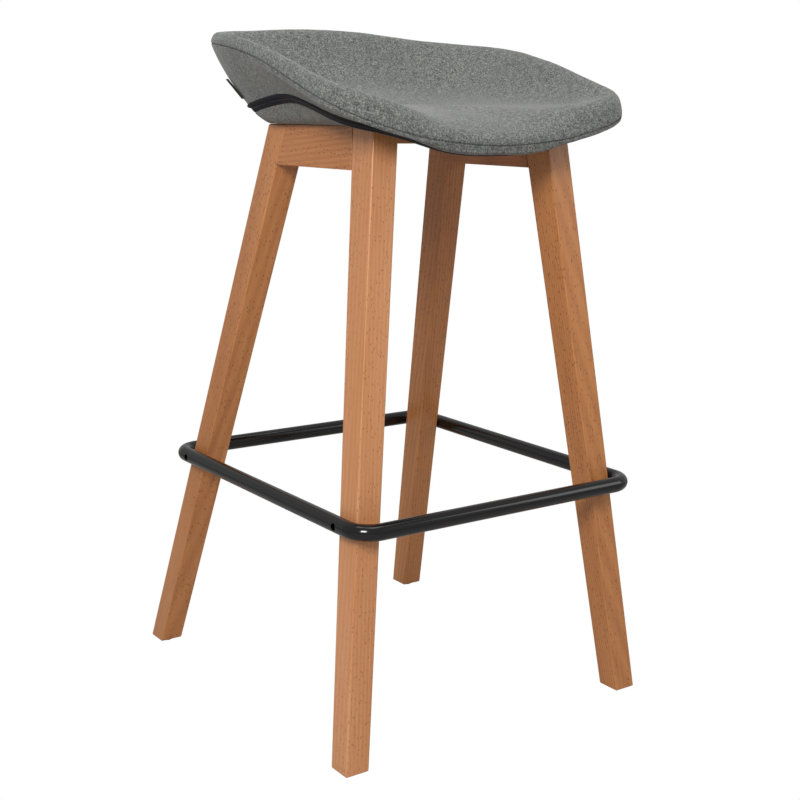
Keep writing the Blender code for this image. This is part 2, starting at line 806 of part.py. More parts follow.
def make_trims():
    label_frame = wall_frame(LABEL_BEARING, ZIP_UPPER, WALL_MIDDLE, 0.5)
    plate_on_wall("blank_label", navy_tape(), LABEL_SIZE, label_frame, LABEL_LIFT,
                  PIPING_RADIUS, -LABEL_TILT)
    tape_frame = wall_frame(180, ZIP_LOWER, ZIP_UPPER, 0.4)
    plate_on_wall("zip_slider", zinc(), SLIDER_SIZE, tape_frame, GAP)
    plate_on_wall("zip_pull", zinc(), PULL_SIZE, tape_frame, 2 * GAP + SLIDER_SIZE[1])


def bolt_places():
    for end_name, end in ENDS.items():
        for side_name, side in SIDES.items():
            yield end_name, side_name, side * BOLT_X, FRAME_Y + end * CROSS_RAIL_Y


def make_seat_fixings(cross_rails, shell, pad, bottom_cover):
    """Four bolts from below, each through a cross rail into a tee nut in the shell."""
    hole = BOLT_RADIUS + GAP
    rail_under = FRAME_TOP - CROSS_RAIL_HEIGHT
    washer_under = rail_under - GAP - WASHER_HEIGHT
    head_top = washer_under - GAP
    nut_under = FRAME_TOP + GAP + COVER + LAYER_GAP
    flange_under = FRAME_TOP + GAP + foam_underside()
    flange_top = flange_under + NUT_FLANGE_HEIGHT
    for end_name, side_name, x, y in bolt_places():
        tag = f"{end_name}_{side_name}"
        bolt = turned(f"seat_bolt_{tag}", zinc(),
                      [(0, BOLT_LENGTH), (BOLT_RADIUS, BOLT_LENGTH), (BOLT_RADIUS, 0),
                       (BOLT_HEAD_RADIUS, 0), (BOLT_HEAD_RADIUS, -BOLT_HEAD_HEIGHT),
                       (0, -BOLT_HEAD_HEIGHT)], 16)
        bolt.location = (x, y, head_top)
        washer = turned(f"washer_{tag}", zinc(),
                        [(hole, WASHER_HEIGHT), (WASHER_RADIUS, WASHER_HEIGHT),
                         (WASHER_RADIUS, 0), (hole, 0)], 20)
        washer.location = (x, y, washer_under)
        nut = turned(f"tee_nut_{tag}", zinc(),
                     [(hole, flange_top - nut_under), (NUT_FLANGE_RADIUS, flange_top - nut_under),
                      (NUT_FLANGE_RADIUS, flange_under - nut_under),
                      (NUT_BARREL_RADIUS, flange_under - nut_under),
                      (NUT_BARREL_RADIUS, 0), (hole, 0)], 20)
        nut.location = (x, y, nut_under)
        below = (x, y, rail_under - CUT_OVER)
        drill(cross_rails[end_name], f"bolt_hole_{tag}", hole, below, (0, 0, 1),
              CROSS_RAIL_HEIGHT + 2 * CUT_OVER)
        at_top = (x, y, FRAME_TOP - CUT_OVER)
        drill(bottom_cover, f"cover_hole_{tag}", hole, at_top, (0, 0, 1), 2 * CUT_OVER + COVER)
        drill(shell, f"shell_hole_{tag}", NUT_BARREL_RADIUS + GAP, at_top, (0, 0, 1),
              foam_underside() + 2 * CUT_OVER, 20)
        drill(pad, f"nut_pocket_{tag}", NUT_FLANGE_RADIUS + GAP, at_top, (0, 0, 1),
              CUT_OVER + flange_top + GAP - FRAME_TOP, 20)
        drill(pad, f"bolt_pocket_{tag}", hole, at_top, (0, 0, 1),
              CUT_OVER + head_top + BOLT_LENGTH + GAP - FRAME_TOP)


def make_seat(cross_rails):
    shell = make_shell()
    pad = make_foam()
    make_top_cover()
    make_side_cover()
    bottom_cover = make_bottom_cover()
    make_zip_tape()
    make_piping()
    make_trims()
    make_seat_fixings(cross_rails, shell, pad, bottom_cover)


def main():
    legs, cross_rails = make_frame()
    make_footrest(legs)
    make_seat(cross_rails)
    bpy.context.view_layer.update()


main()
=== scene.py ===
"""Bar stool with a tube footrest: the finished pieces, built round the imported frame.

Row frame: metres, +Z up, -Y is the way a sitter faces, X is across the seat. The stool
has a splayed beech frame, a square ring of black tube screwed round its legs, and a
scoop seat in grey felt whose cover closes with a zip round the underside.
"""

from __future__ import annotations

import logging
import math
from dataclasses import dataclass
from enum import Enum
from typing import Any, Callable, Iterator, Sequence

import bmesh
import bpy
from mathutils import Matrix, Vector, noise

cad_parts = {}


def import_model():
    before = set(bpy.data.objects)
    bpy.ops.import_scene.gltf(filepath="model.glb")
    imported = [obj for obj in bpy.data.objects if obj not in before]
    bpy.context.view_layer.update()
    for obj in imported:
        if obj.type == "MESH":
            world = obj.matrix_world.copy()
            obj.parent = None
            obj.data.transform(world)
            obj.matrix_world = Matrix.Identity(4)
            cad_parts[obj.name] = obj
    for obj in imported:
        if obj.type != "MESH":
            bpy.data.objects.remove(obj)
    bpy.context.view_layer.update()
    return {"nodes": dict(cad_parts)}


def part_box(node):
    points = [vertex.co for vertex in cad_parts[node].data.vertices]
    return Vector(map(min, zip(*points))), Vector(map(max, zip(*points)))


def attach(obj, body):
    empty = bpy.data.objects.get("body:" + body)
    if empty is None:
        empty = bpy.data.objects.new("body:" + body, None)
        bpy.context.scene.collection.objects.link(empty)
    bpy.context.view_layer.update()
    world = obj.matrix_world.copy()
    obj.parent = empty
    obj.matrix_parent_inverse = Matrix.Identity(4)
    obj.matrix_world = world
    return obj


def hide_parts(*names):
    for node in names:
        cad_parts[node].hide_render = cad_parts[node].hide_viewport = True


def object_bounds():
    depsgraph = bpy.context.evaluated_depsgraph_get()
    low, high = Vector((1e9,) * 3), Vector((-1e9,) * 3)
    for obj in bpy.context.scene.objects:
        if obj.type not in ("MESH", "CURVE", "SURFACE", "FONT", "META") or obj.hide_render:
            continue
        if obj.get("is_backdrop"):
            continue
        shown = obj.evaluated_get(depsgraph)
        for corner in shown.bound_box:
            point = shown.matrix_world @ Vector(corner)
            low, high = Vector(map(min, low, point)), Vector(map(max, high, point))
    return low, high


LOG = logging.getLogger("bar_stool")
MM = 0.001
BODY = "root"
WEAVE_MAP = "weave"
TURNED_SIDES = 36

Node = bpy.types.Node
Tree = bpy.types.NodeTree
Socket = bpy.types.NodeSocket
Material = bpy.types.Material
Piece = bpy.types.Object
Line = list[Vector]


class Side(Enum):
    """The sitter's left and right, as signs of X."""

    LEFT = 1
    RIGHT = -1


class End(Enum):
    """The stool's front and rear, as signs of Y."""

    FRONT = -1
    REAR = 1


def corner_name(stem: str, end: End, side: Side) -> str:
    """Returns a name such as leg_front_left."""
    return f"{stem}_{end.name.lower()}_{side.name.lower()}"


# ---- materials ----------------------------------------------------------------------


def linear(hex_colour: str) -> tuple[float, float, float, float]:
    """Turns an sRGB colour to a linear one.

    Args:
        hex_colour: the colour in hex, such as #B9764A.

    Returns:
        Its linear RGBA values.
    """
    parts = [int(hex_colour[i : i + 2], 16) / 255 for i in (1, 3, 5)]
    red, green, blue = (
        part / 12.92 if part <= 0.04045 else ((part + 0.055) / 1.055) ** 2.4 for part in parts
    )
    return (red, green, blue, 1.0)


def add(tree: Tree, kind: str, inputs: dict[str | int, Any] | None = None, **settings: Any) -> Node:
    """Adds one node.

    Args:
        tree: the material's node tree.
        kind: the node's type, without ShaderNode in front.
        inputs: for each input, the value to set or the output socket to link.
        settings: properties of the node itself.

    Returns:
        The node.
    """
    node = tree.nodes.new("ShaderNode" + kind)
    for name, value in settings.items():
        setattr(node, name, value)
    for socket, value in (inputs or {}).items():
        if isinstance(value, Socket):
            tree.links.new(value, node.inputs[socket])
        else:
            node.inputs[socket].default_value = value
    return node


def start_material(name: str, shader_values: dict[str, Any]) -> tuple[Material, Tree, Node]:
    """Starts a material with one Principled shader.

    Args:
        name: the material's name.
        shader_values: constants for the shader's own sockets.

    Returns:
        The material, its tree and its shader.
    """
    made = bpy.data.materials.new(name)
    made.use_nodes = True
    shader = made.node_tree.nodes["Principled BSDF"]
    for socket, value in shader_values.items():
        shader.inputs[socket].default_value = value
    return made, made.node_tree, shader


def per_mm(size_mm: float) -> float:
    """A texture scale whose features are size_mm apart."""
    return 1000.0 / size_mm


@dataclass(frozen=True)
class LacqueredBeech:
    """Steamed beech, planed, sanded and lacquered: warm and close-grained, satin."""

    pale: str = "#CE9468"
    deep: str = "#B67544"
    fleck: str = "#6E3F22"
    growth_ring_mm: float = 4.2
    fibre_mm: float = 0.9
    fibre_length_mm: float = 45.0
    fleck_width_mm: float = 1.9
    fleck_length_mm: float = 6.5
    cloud_mm: float = 55.0    # slow changes of tone along the board

    def material(self, name: str, grain: Vector, shift: float) -> Material:
        """Makes the wood of one piece.

        Args:
            name: the piece's name.
            grain: the direction of the grain.
            shift: metres by which this piece was sawn further along the log.

        Returns:
            The material.
        """
        made, tree, shader = start_material(
            f"lacquered_beech_{name}",
            {"Roughness": 0.38, "IOR": 1.5, "Coat Weight": 0.25, "Coat Roughness": 0.22},
        )
        spot = add(tree, "TexCoord").outputs["Object"]
        turn = grain.normalized().rotation_difference(Vector((0, 0, 1)))
        log = add(tree, "Mapping", {"Vector": spot, "Rotation": turn.to_euler(),
                                    "Location": (shift, 0.6 * shift, 3 * shift)})
        # The saw runs at a slight angle to the log, so the rings run out as long flames.
        sawn = add(tree, "Mapping", {"Vector": log.outputs[0], "Rotation": (0.035, 0.05, 0.0),
                                     "Location": (0.055, 0.02, 0.0)})
        rings_at = add(tree, "Mapping", {"Vector": sawn.outputs[0], "Scale": (1.0, 1.0, 0.08)})
        rings = add(tree, "TexWave", {
            "Vector": rings_at.outputs[0],
            "Scale": math.tau / (20 * self.growth_ring_mm * MM),
            "Distortion": 3.0, "Detail": 2.0, "Detail Scale": 0.35,
        }, wave_type="RINGS", rings_direction="Z")
        fibre_at = add(tree, "Mapping", {"Vector": log.outputs[0], "Scale": (
            per_mm(self.fibre_mm), per_mm(self.fibre_mm), per_mm(self.fibre_length_mm))})
        fibres = add(tree, "TexNoise", {"Vector": fibre_at.outputs[0], "Scale": 1.0,
                                        "Detail": 3.0, "Roughness": 0.6})
        clouds = add(tree, "TexNoise", {"Vector": rings_at.outputs[0],
                                        "Scale": per_mm(self.cloud_mm)})
        # Rays show as short dark spindles along the grain, the mark of beech.
        fleck_at = add(tree, "Mapping", {"Vector": log.outputs[0], "Scale": (
            per_mm(self.fleck_width_mm), per_mm(self.fleck_width_mm),
            per_mm(self.fleck_length_mm))})
        cells = add(tree, "TexVoronoi", {"Vector": fleck_at.outputs[0], "Scale": 1.0})
        core = add(tree, "MapRange", {"Value": cells.outputs["Distance"], "From Min": 0.10,
                                      "From Max": 0.30, "To Min": 1.0, "To Max": 0.0})
        chance = add(tree, "SeparateColor", {0: cells.outputs["Color"]})
        some = add(tree, "MapRange", {"Value": chance.outputs[0], "From Min": 0.35,
                                      "From Max": 0.60, "To Min": 0.0, "To Max": 0.95})
        flecks = add(tree, "Math", {0: core.outputs[0], 1: some.outputs[0]}, operation="MULTIPLY")
        late = add(tree, "Math", {0: rings.outputs["Fac"], 1: 0.13}, operation="MULTIPLY")
        streak = add(tree, "Math", {0: fibres.outputs["Fac"], 1: 0.55, 2: late.outputs[0]},
                     operation="MULTIPLY_ADD")
        tone = add(tree, "Math", {0: clouds.outputs["Fac"], 1: 0.55, 2: streak.outputs[0]},
                   operation="MULTIPLY_ADD")
        share = add(tree, "MapRange", {"Value": tone.outputs[0], "From Min": 0.36,
                                       "From Max": 0.80, "To Min": 0.0, "To Max": 1.0})
        timber = add(tree, "Mix", {0: share.outputs[0], 6: linear(self.pale), 7: linear(self.deep)},
                     data_type="RGBA")
        colour = add(tree, "Mix", {0: flecks.outputs[0], 6: timber.outputs[2],
                                   7: linear(self.fleck)}, data_type="RGBA")
        pores = add(tree, "Math", {0: fibres.outputs["Fac"], 1: flecks.outputs[0]},
                    operation="SUBTRACT")
        bump = add(tree, "Bump", {"Height": pores.outputs[0], "Strength": 0.16,
                                  "Distance": 0.25 * MM})
        tree.links.new(colour.outputs[2], shader.inputs["Base Color"])
        tree.links.new(bump.outputs[0], shader.inputs["Normal"])
        return made


@dataclass(frozen=True)
class MelangeFelt:
    """Wool felt from dark and light fibres, milled and brushed: matt, mottled, soft-edged."""

    name: str = "melange_wool_felt"
    dark: str = "#393B39"
    middle: str = "#646663"
    light: str = "#8E8F8A"
    tuft_mm: float = 1.9    # fibre bundles, drawn coarser than the fibres themselves
    patch_mm: float = 6.0
    curl_mm: float = 3.0     # how far apart the fibres' bends are, and how far they stray
    stray_mm: float = 1.1

    def material(self) -> Material:
        """Makes the felt; its fibres lie every way, so it follows the cloth in space."""
        made, tree, shader = start_material(self.name, {
            "Roughness": 0.95, "Specular IOR Level": 0.2, "Sheen Weight": 0.22,
            "Sheen Roughness": 0.45,
        })
        spot = add(tree, "TexCoord").outputs["Object"]
        bend = add(tree, "TexNoise", {"Vector": spot, "Scale": per_mm(self.curl_mm), "Detail": 1.0})
        swirl = add(tree, "VectorMath", {0: bend.outputs["Color"], 1: (self.stray_mm * MM,) * 3,
                                         2: spot}, operation="MULTIPLY_ADD")
        tufts = add(tree, "TexNoise", {"Vector": swirl.outputs[0], "Scale": per_mm(self.tuft_mm),
                                       "Detail": 2.5, "Roughness": 0.72})
        patches = add(tree, "TexNoise", {"Vector": spot, "Scale": per_mm(self.patch_mm),
                                         "Detail": 2.0})
        blend = add(tree, "Math", {0: patches.outputs["Fac"], 1: 0.22, 2: tufts.outputs["Fac"]},
                    operation="MULTIPLY_ADD")
        shade = add(tree, "MapRange", {"Value": blend.outputs[0], "From Min": 0.42,
                                       "From Max": 0.61, "To Min": 0.0, "To Max": 1.0})
        glint = add(tree, "MapRange", {"Value": blend.outputs[0], "From Min": 0.61,
                                       "From Max": 0.80, "To Min": 0.0, "To Max": 1.0})
        base = add(tree, "Mix", {0: shade.outputs[0], 6: linear(self.dark),
                                 7: linear(self.middle)}, data_type="RGBA")
        colour = add(tree, "Mix", {0: glint.outputs[0], 6: base.outputs[2],
                                   7: linear(self.light)}, data_type="RGBA")
        nap = add(tree, "Bump", {"Height": blend.outputs[0], "Strength": 0.55,
                                 "Distance": 0.5 * MM})
        tree.links.new(colour.outputs[2], shader.inputs["Base Color"])
        tree.links.new(nap.outputs[0], shader.inputs["Normal"])
        return made


@dataclass(frozen=True)
class WovenPolyester:
    """Dyed polyester yarn in a close plain weave: near black, with a faint thread glint."""

    name: str
    warp: str = "#0B0C13"
    weft: str = "#161824"
    thread_mm: float = 0.8

    def material(self) -> Material:
        """Makes the weave from two crossed waves along the cloth's own map."""
        made, tree, shader = start_material(self.name, {
            "Roughness": 0.7, "Specular IOR Level": 0.3,
        })
        place = add(tree, "UVMap", uv_map=WEAVE_MAP).outputs[0]
        waves = [
            add(tree, "TexWave", {"Vector": place,
                                  "Scale": math.tau / (20 * self.thread_mm * MM)},
                bands_direction=direction).outputs["Fac"]
            for direction in ("X", "Y")
        ]
        cross = add(tree, "Math", {0: waves[0], 1: waves[1]}, operation="MULTIPLY")
        colour = add(tree, "Mix", {0: cross.outputs[0], 6: linear(self.warp),
                                   7: linear(self.weft)}, data_type="RGBA")
        relief = add(tree, "Bump", {"Height": cross.outputs[0], "Strength": 0.5,
                                    "Distance": 0.2 * MM})
        tree.links.new(colour.outputs[2], shader.inputs["Base Color"])
        tree.links.new(relief.outputs[0], shader.inputs["Normal"])
        return made


@dataclass(frozen=True)
class Speckled:
    """A finish whose one colour varies softly and whose surface is faintly uneven."""

    name: str
    colour: str
    second: str
    roughness: float
    grain_mm: float
    relief_mm: float
    metallic: float = 0.0
    second_share: float = 0.5

    def material(self) -> Material:
        """Makes the finish; its roughness varies a little with the same grain."""
        made, tree, shader = start_material(self.name, {"Metallic": self.metallic})
        spot = add(tree, "TexCoord").outputs["Object"]
        grain = add(tree, "TexNoise", {"Vector": spot, "Scale": per_mm(self.grain_mm),
                                       "Detail": 3.0, "Roughness": 0.55})
        share = add(tree, "Math", {0: grain.outputs["Fac"], 1: self.second_share},
                    operation="MULTIPLY")
        colour = add(tree, "Mix", {0: share.outputs[0], 6: linear(self.colour),
                                   7: linear(self.second)}, data_type="RGBA")
        gloss = add(tree, "MapRange", {"Value": grain.outputs["Fac"],
                                       "To Min": self.roughness * 0.8,
                                       "To Max": self.roughness * 1.2})
        relief = add(tree, "Bump", {"Height": grain.outputs["Fac"], "Strength": 0.6,
                                    "Distance": self.relief_mm * MM})
        tree.links.new(colour.outputs[2], shader.inputs["Base Color"])
        tree.links.new(gloss.outputs[0], shader.inputs["Roughness"])
        tree.links.new(relief.outputs[0], shader.inputs["Normal"])
        return made


# Powder coat flows out as it bakes: a wet black gloss with a faint orange peel.
GLOSS_POWDER = Speckled("black_gloss_powder_coat", "#08080A", "#101014", 0.13, 2.4, 0.012)
# Electroplated zinc: bright and slightly blue, with a soft spangle.
ZINC_PLATE = Speckled("zinc_plated_steel", "#C9CCD0", "#A9AEB6", 0.28, 0.8, 0.01, metallic=1.0)
# Nylon from a spark-eroded mould: dull, with a fine even grain.
MOULDED_NYLON = Speckled("moulded_brown_nylon", "#2A211C", "#3A2F28", 0.45, 0.6, 0.03)
# Polypropylene shell, moulded with a matt texture.
MOULDED_SHELL = Speckled("moulded_polypropylene", "#1C1C1E", "#2A2A2C", 0.5, 0.7, 0.03)
# Cold-cure foam: cream, with open cells that show as a coarse matt grain.
CUT_FOAM = Speckled("cold_cure_foam", "#E9DDB4", "#CDBE8E", 0.95, 1.4, 0.5)
# Sewing thread, dyed a shade darker than the felt.
SEWING_THREAD = Speckled("polyester_sewing_thread", "#3A3C3B", "#555755", 0.6, 0.5, 0.05)
# Nylon zip coil, dyed navy, with the sheen of drawn filament.
ZIP_COIL = Speckled("nylon_zip_coil", "#12131D", "#272A3C", 0.34, 0.8, 0.02)


# ---- meshes -------------------------------------------------------------------------


def keep(piece: Piece, slot: str, *nodes: str) -> Piece:
    """Makes a finished piece part of the stool and reports it.

    Args:
        piece: the new object, in the row frame.
        slot: the record's material slot of the piece; not used.
        nodes: the frame's nodes that it stands for.

    Returns:
        The piece.
    """
    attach(piece, BODY)
    if nodes:
        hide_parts(*nodes)
    LOG.info("%s: %d faces, for %s", piece.name, len(piece.data.polygons), ", ".join(nodes) or "-")
    return piece


def piece_from(bm: bmesh.types.BMesh, name: str, finish: Material, sharp_deg: float = 40) -> Piece:
    """Turns a bmesh into a smooth-shaded object.

    Args:
        bm: the mesh, which is freed.
        name: the object's name.
        finish: its material.
        sharp_deg: edges sharper than this stay sharp.

    Returns:
        The object.
    """
    mesh = bpy.data.meshes.new(name)
    bm.to_mesh(mesh)
    bm.free()
    mesh.shade_smooth()
    mesh.set_sharp_from_angle(angle=math.radians(sharp_deg))
    mesh.materials.append(finish)
    made = bpy.data.objects.new(name, mesh)
    bpy.context.scene.collection.objects.link(made)
    return made


def add_sweep(bm: bmesh.types.BMesh, rows: Sequence[Line], closed_across: bool,
              first_pole: Vector | None = None, last_pole: Vector | None = None) -> None:
    """Adds a surface through rows of points that follow each other round a closed loop.

    Args:
        bm: the mesh to add to.
        rows: one line of points for each place round the loop.
        closed_across: whether each row is itself a closed outline.
        first_pole: a point that closes the rows' first ends.
        last_pole: a point that closes the rows' last ends.
    """
    layer = bm.loops.layers.uv.get(WEAVE_MAP) or bm.loops.layers.uv.new(WEAVE_MAP)
    verts = [[bm.verts.new(point) for point in row] for row in rows]
    count, around = len(rows[0]), len(rows)
    steps = count if closed_across else count - 1
    along = 0.0
    for i in range(around):
        line, following = verts[i], verts[(i + 1) % around]
        ahead = along + (rows[(i + 1) % around][0] - rows[i][0]).length
        across = 0.0
        for j in range(steps):
            k = (j + 1) % count
            width = across + (rows[i][k] - rows[i][j]).length
            face = bm.faces.new((line[j], following[j], following[k], line[k]))
            for loop, uv in zip(face.loops, ((along, across), (ahead, across),
                                             (ahead, width), (along, width))):
                loop[layer].uv = uv
            across = width
        along = ahead
    for pole, index in ((first_pole, 0), (last_pole, -1)):
        if pole is not None:
            tip = bm.verts.new(pole)
            for i in range(around):
                here, there = verts[i][index], verts[(i + 1) % around][index]
                bm.faces.new((there, here, tip) if index == 0 else (here, there, tip))


def swept(name: str, finish: Material, rows: Sequence[Line], closed_across: bool = False,
          first_pole: Vector | None = None, last_pole: Vector | None = None) -> Piece:
    """Makes one object from add_sweep, with the faces of a closed one pointing out.

    Args:
        name: the object's name.
        finish: its material.
        rows: one line of points for each place round the loop.
        closed_across: whether each row is itself a closed outline.
        first_pole: a point that closes the rows' first ends.
        last_pole: a point that closes the rows' last ends.

    Returns:
        The object.
    """
    bm = bmesh.new()
    add_sweep(bm, rows, closed_across, first_pole, last_pole)
    if closed_across or (first_pole and last_pole):
        bmesh.ops.recalc_face_normals(bm, faces=bm.faces)
    return piece_from(bm, name, finish)


def add_block(bm: bmesh.types.BMesh, size: Vector, place: Matrix, edge: float) -> None:
    """Adds a block with rounded edges.

    Args:
        bm: the mesh to add to.
        size: the block's three sides.
        place: where its middle and axes go.
        edge: the radius of its edges.
    """
    made = bmesh.ops.create_cube(bm, size=1.0)["verts"]
    bmesh.ops.scale(bm, vec=size, verts=made)
    edges = {e for v in made for e in v.link_edges}
    rounded = bmesh.ops.bevel(bm, geom=list(edges), offset=edge, segments=2, profile=0.5,
                              affect="EDGES")
    verts = {v for face in rounded["faces"] for v in face.verts}
    bmesh.ops.transform(bm, matrix=place, verts=list(verts))


def repeated_block(name: str, finish: Material, size: Vector, edge: float,
                   places: Iterator[Matrix]) -> Piece:
    """Makes one object of many equal blocks with rounded edges.

    Args:
        name: the object's name.
        finish: its material.
        size: one block's three sides.
        edge: the radius of its edges.
        places: where each block's middle and axes go.

    Returns:
        The object.
    """
    one = bmesh.new()
    add_block(one, size, Matrix(), edge)
    one.verts.index_update()
    corner_spots = [vert.co.copy() for vert in one.verts]
    sides = [[vert.index for vert in face.verts] for face in one.faces]
    one.free()
    bm = bmesh.new()
    for place in places:
        verts = [bm.verts.new(place @ spot) for spot in corner_spots]
        for side in sides:
            bm.faces.new([verts[i] for i in side])
    return piece_from(bm, name, finish)


@dataclass(frozen=True)
class Ring:
    """One ring of a turned piece: its radius, its height, and six flats if it is a socket."""

    radius: float
    height: float
    hexagon: bool = False

    def at(self, turn: float) -> Vector:
        """Finds one point of the ring.

        Args:
            turn: its angle in radians.

        Returns:
            The point, in the piece's own axes.
        """
        reach = self.radius
        if self.hexagon:
            sixth = math.pi / 3
            reach /= math.cos(turn % sixth - sixth / 2)
        return Vector((reach * math.cos(turn), reach * math.sin(turn), self.height))


def turned(name: str, finish: Material, rings: Sequence[Ring], place: Matrix,
           hollow: bool = False) -> Piece:
    """Makes a turned piece.

    Args:
        name: the object's name.
        finish: its material.
        rings: from the top's middle, down the outside, to the underside's middle.
        place: where its own Z axis and origin go.
        hollow: whether the rings form a closed outline, with a hole in the middle.

    Returns:
        The object, with its place in its mesh.
    """
    turns = [math.tau * i / TURNED_SIDES for i in range(TURNED_SIDES)]
    rows = [[place @ ring.at(turn) for ring in rings] for turn in turns]
    if hollow:
        return swept(name, finish, rows, closed_across=True)
    top, bottom = (place @ Vector((0, 0, rings[i].height)) for i in (0, -1))
    return swept(name, finish, rows, first_pole=top, last_pole=bottom)


def upright_at(spot: Vector, axis: Vector) -> Matrix:
    """Returns a placement whose Z axis points along axis, at spot."""
    turn = Vector((0, 0, 1)).rotation_difference(axis)
    return Matrix.Translation(spot) @ turn.to_matrix().to_4x4()


def facing(x_way: Vector, y_way: Vector, z_way: Vector) -> Matrix:
    """Returns the turn that brings the three axes to these ways."""
    return Matrix((x_way, y_way, z_way)).transposed().to_4x4()


def even_stops(point_at: Callable[[float], Vector], here: Vector, steps: int,
               pitch: float) -> Iterator[tuple[float, Vector]]:
    """Walks once round the seat and stops at an even pitch.

    Args:
        point_at: gives the walk's point at a bearing in degrees.
        here: the point that the first length is measured from.
        steps: how many bearings the walk goes through.
        pitch: the distance from stop to stop.

    Yields:
        The bearing and the point of each stop.
    """
    gone, due = 0.0, 0.0
    for step in range(steps):
        bearing = 360 * step / steps
        spot = point_at(bearing)
        gone += (spot - here).length
        here = spot
        if gone >= due:
            due += pitch
            yield bearing, spot


def cut_away(piece: Piece, cutter: Piece) -> None:
    """Cuts a hole in a piece for good.

    Args:
        piece: the object to cut.
        cutter: the hole's shape, which is removed.
    """
    cut = piece.modifiers.new("cut", "BOOLEAN")
    cut.operation = "DIFFERENCE"
    cut.solver = "EXACT"
    cut.object = cutter
    bpy.context.view_layer.update()
    graph = bpy.context.evaluated_depsgraph_get()
    made = bpy.data.meshes.new_from_object(piece.evaluated_get(graph))
    piece.modifiers.clear()
    piece.data = made
    bpy.data.objects.remove(cutter, do_unlink=True)


# ---- wooden frame -------------------------------------------------------------------


@dataclass
class WoodenFrame:
    """Two splayed side frames of beech, joined by two cross rails under the seat."""

    side_tilt: float = math.radians(6.68)
    front_splay: float = math.radians(6.37)
    rear_splay: float = math.radians(15.42)
    top_half_width: float = 0.1422
    top_half_depth: float = 0.1163
    leg_top: tuple[float, float] = (0.034, 0.043)
    leg_foot: tuple[float, float] = (0.0315, 0.032)
    rail_height: float = 0.049
    cross_rail: tuple[float, float] = (0.048, 0.020)
    cross_rail_y: float = 0.036
    arris: float = 0.0021
    joint_gap: float = 0.0003
    glide_radius: float = 0.0085
    glide_pin: tuple[float, float] = (0.0014, 0.014)    # radius and length

    def __post_init__(self) -> None:
        """Takes the levels of the frame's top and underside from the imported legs."""
        low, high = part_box("leg_front_left")
        self.foot, self.top = low.z, high.z
        self.centre_y = (self.outer_y(self.foot, End.FRONT) - self.outer_y(self.foot, End.REAR)) / 2

    def outer_x(self, z: float) -> float:
        """Returns how far a leg's outer side face is from the middle."""
        return self.top_half_width + (self.top - z) * math.tan(self.side_tilt)

    def outer_y(self, z: float, end: End) -> float:
        """Returns how far a leg's front or rear face is from the frame's centre."""
        splay = self.front_splay if end is End.FRONT else self.rear_splay
        return self.top_half_depth + (self.top - z) * math.tan(splay)

    def section(self, z: float) -> tuple[float, float]:
        """Measures a leg's level section.

        Args:
            z: the section's height.

        Returns:
            Its thickness across the stool and its depth along it.
        """
        share = (self.top - z) / (self.top - self.foot)
        across, deep = (a + (b - a) * share for a, b in zip(self.leg_top, self.leg_foot))
        return across, deep

    def leg_middle(self, side: Side, end: End, z: float) -> Vector:
        """Returns the centre of a leg's section at a height."""
        across, deep = self.section(z)
        return Vector((side.value * (self.outer_x(z) - across / 2),
                       self.centre_y + end.value * (self.outer_y(z, end) - deep / 2), z))

    def bar(self, name: str, corner_at: Callable[[int, int, int], Vector], grain: Vector,
            arris: float, shift: float, wood: LacqueredBeech) -> Piece:
        """Makes one length of timber with rounded arrises.

        Args:
            name: the object's name.
            corner_at: gives each corner from its three signs.
            grain: the direction of the grain.
            arris: radius of the sanded edges.
            shift: how far along the log the timber was sawn.
            wood: the finish.

        Returns:
            The object.
        """
        bm = bmesh.new()
        bmesh.ops.create_cube(bm, size=2.0)
        for vert in bm.verts:
            vert.co = corner_at(*(1 if value > 0 else -1 for value in vert.co))
        bmesh.ops.recalc_face_normals(bm, faces=bm.faces)
        bmesh.ops.bevel(bm, geom=bm.edges[:], offset=arris, segments=5, profile=0.5,
                        affect="EDGES")
        timber = piece_from(bm, name, wood.material(name, grain, shift), 180)
        flats = timber.modifiers.new("flat_faces", "WEIGHTED_NORMAL")
        flats.weight = 100
        return timber

    def plank(self, pale: bool) -> LacqueredBeech:
        """Picks the plank that a piece was cut from.

        Args:
            pale: whether it is the paler plank, whose flecks are small.

        Returns:
            The plank's finish.
        """
        if pale:
            return LacqueredBeech()
        return LacqueredBeech(pale="#C6854E", deep="#A06233", fleck="#5C2F15", fleck_width_mm=2.5,
                              fleck_length_mm=7.5)

    def leg(self, side: Side, end: End) -> Piece:
        """Makes one leg, leaning out and tapering to its foot.

        Args:
            side: the sitter's side that it is on.
            end: the end of the stool that it is at.

        Returns:
            The leg.
        """

        def corner(x_sign: int, y_sign: int, z_sign: int) -> Vector:
            """Returns the corner with these signs across, along and up."""
            z = self.top if z_sign > 0 else self.foot
            across, deep = self.section(z)
            x = self.outer_x(z) - (0 if x_sign == side.value else across)
            y = self.outer_y(z, end) - (0 if y_sign == end.value else deep)
            return Vector((side.value * x, self.centre_y + end.value * y, z))

        name = corner_name("leg", end, side)
        grain = self.leg_middle(side, end, self.top) - self.leg_middle(side, end, self.foot)
        shift = 0.13 * side.value + 0.31 * end.value
        wood = self.plank(pale=side is Side.RIGHT and end is End.FRONT)
        timber = self.bar(f"beech_{name}", corner, grain, self.arris, shift, wood)
        return keep(timber, "beech", name)

    def side_rail(self, side: Side) -> Piece:
        """Makes the rail between the two legs of one side.

        Args:
            side: the sitter's side that it is on.

        Returns:
            The rail.
        """

        def corner(x_sign: int, y_sign: int, z_sign: int) -> Vector:
            """Returns the corner with these signs across, along and up."""
            z = self.top if z_sign > 0 else self.top - self.rail_height
            across, deep = self.section(z)
            x = self.outer_x(z) - (0 if x_sign == side.value else across)
            y = self.outer_y(z, End(y_sign)) - deep - self.joint_gap
            return Vector((side.value * x, self.centre_y + y_sign * y, z))

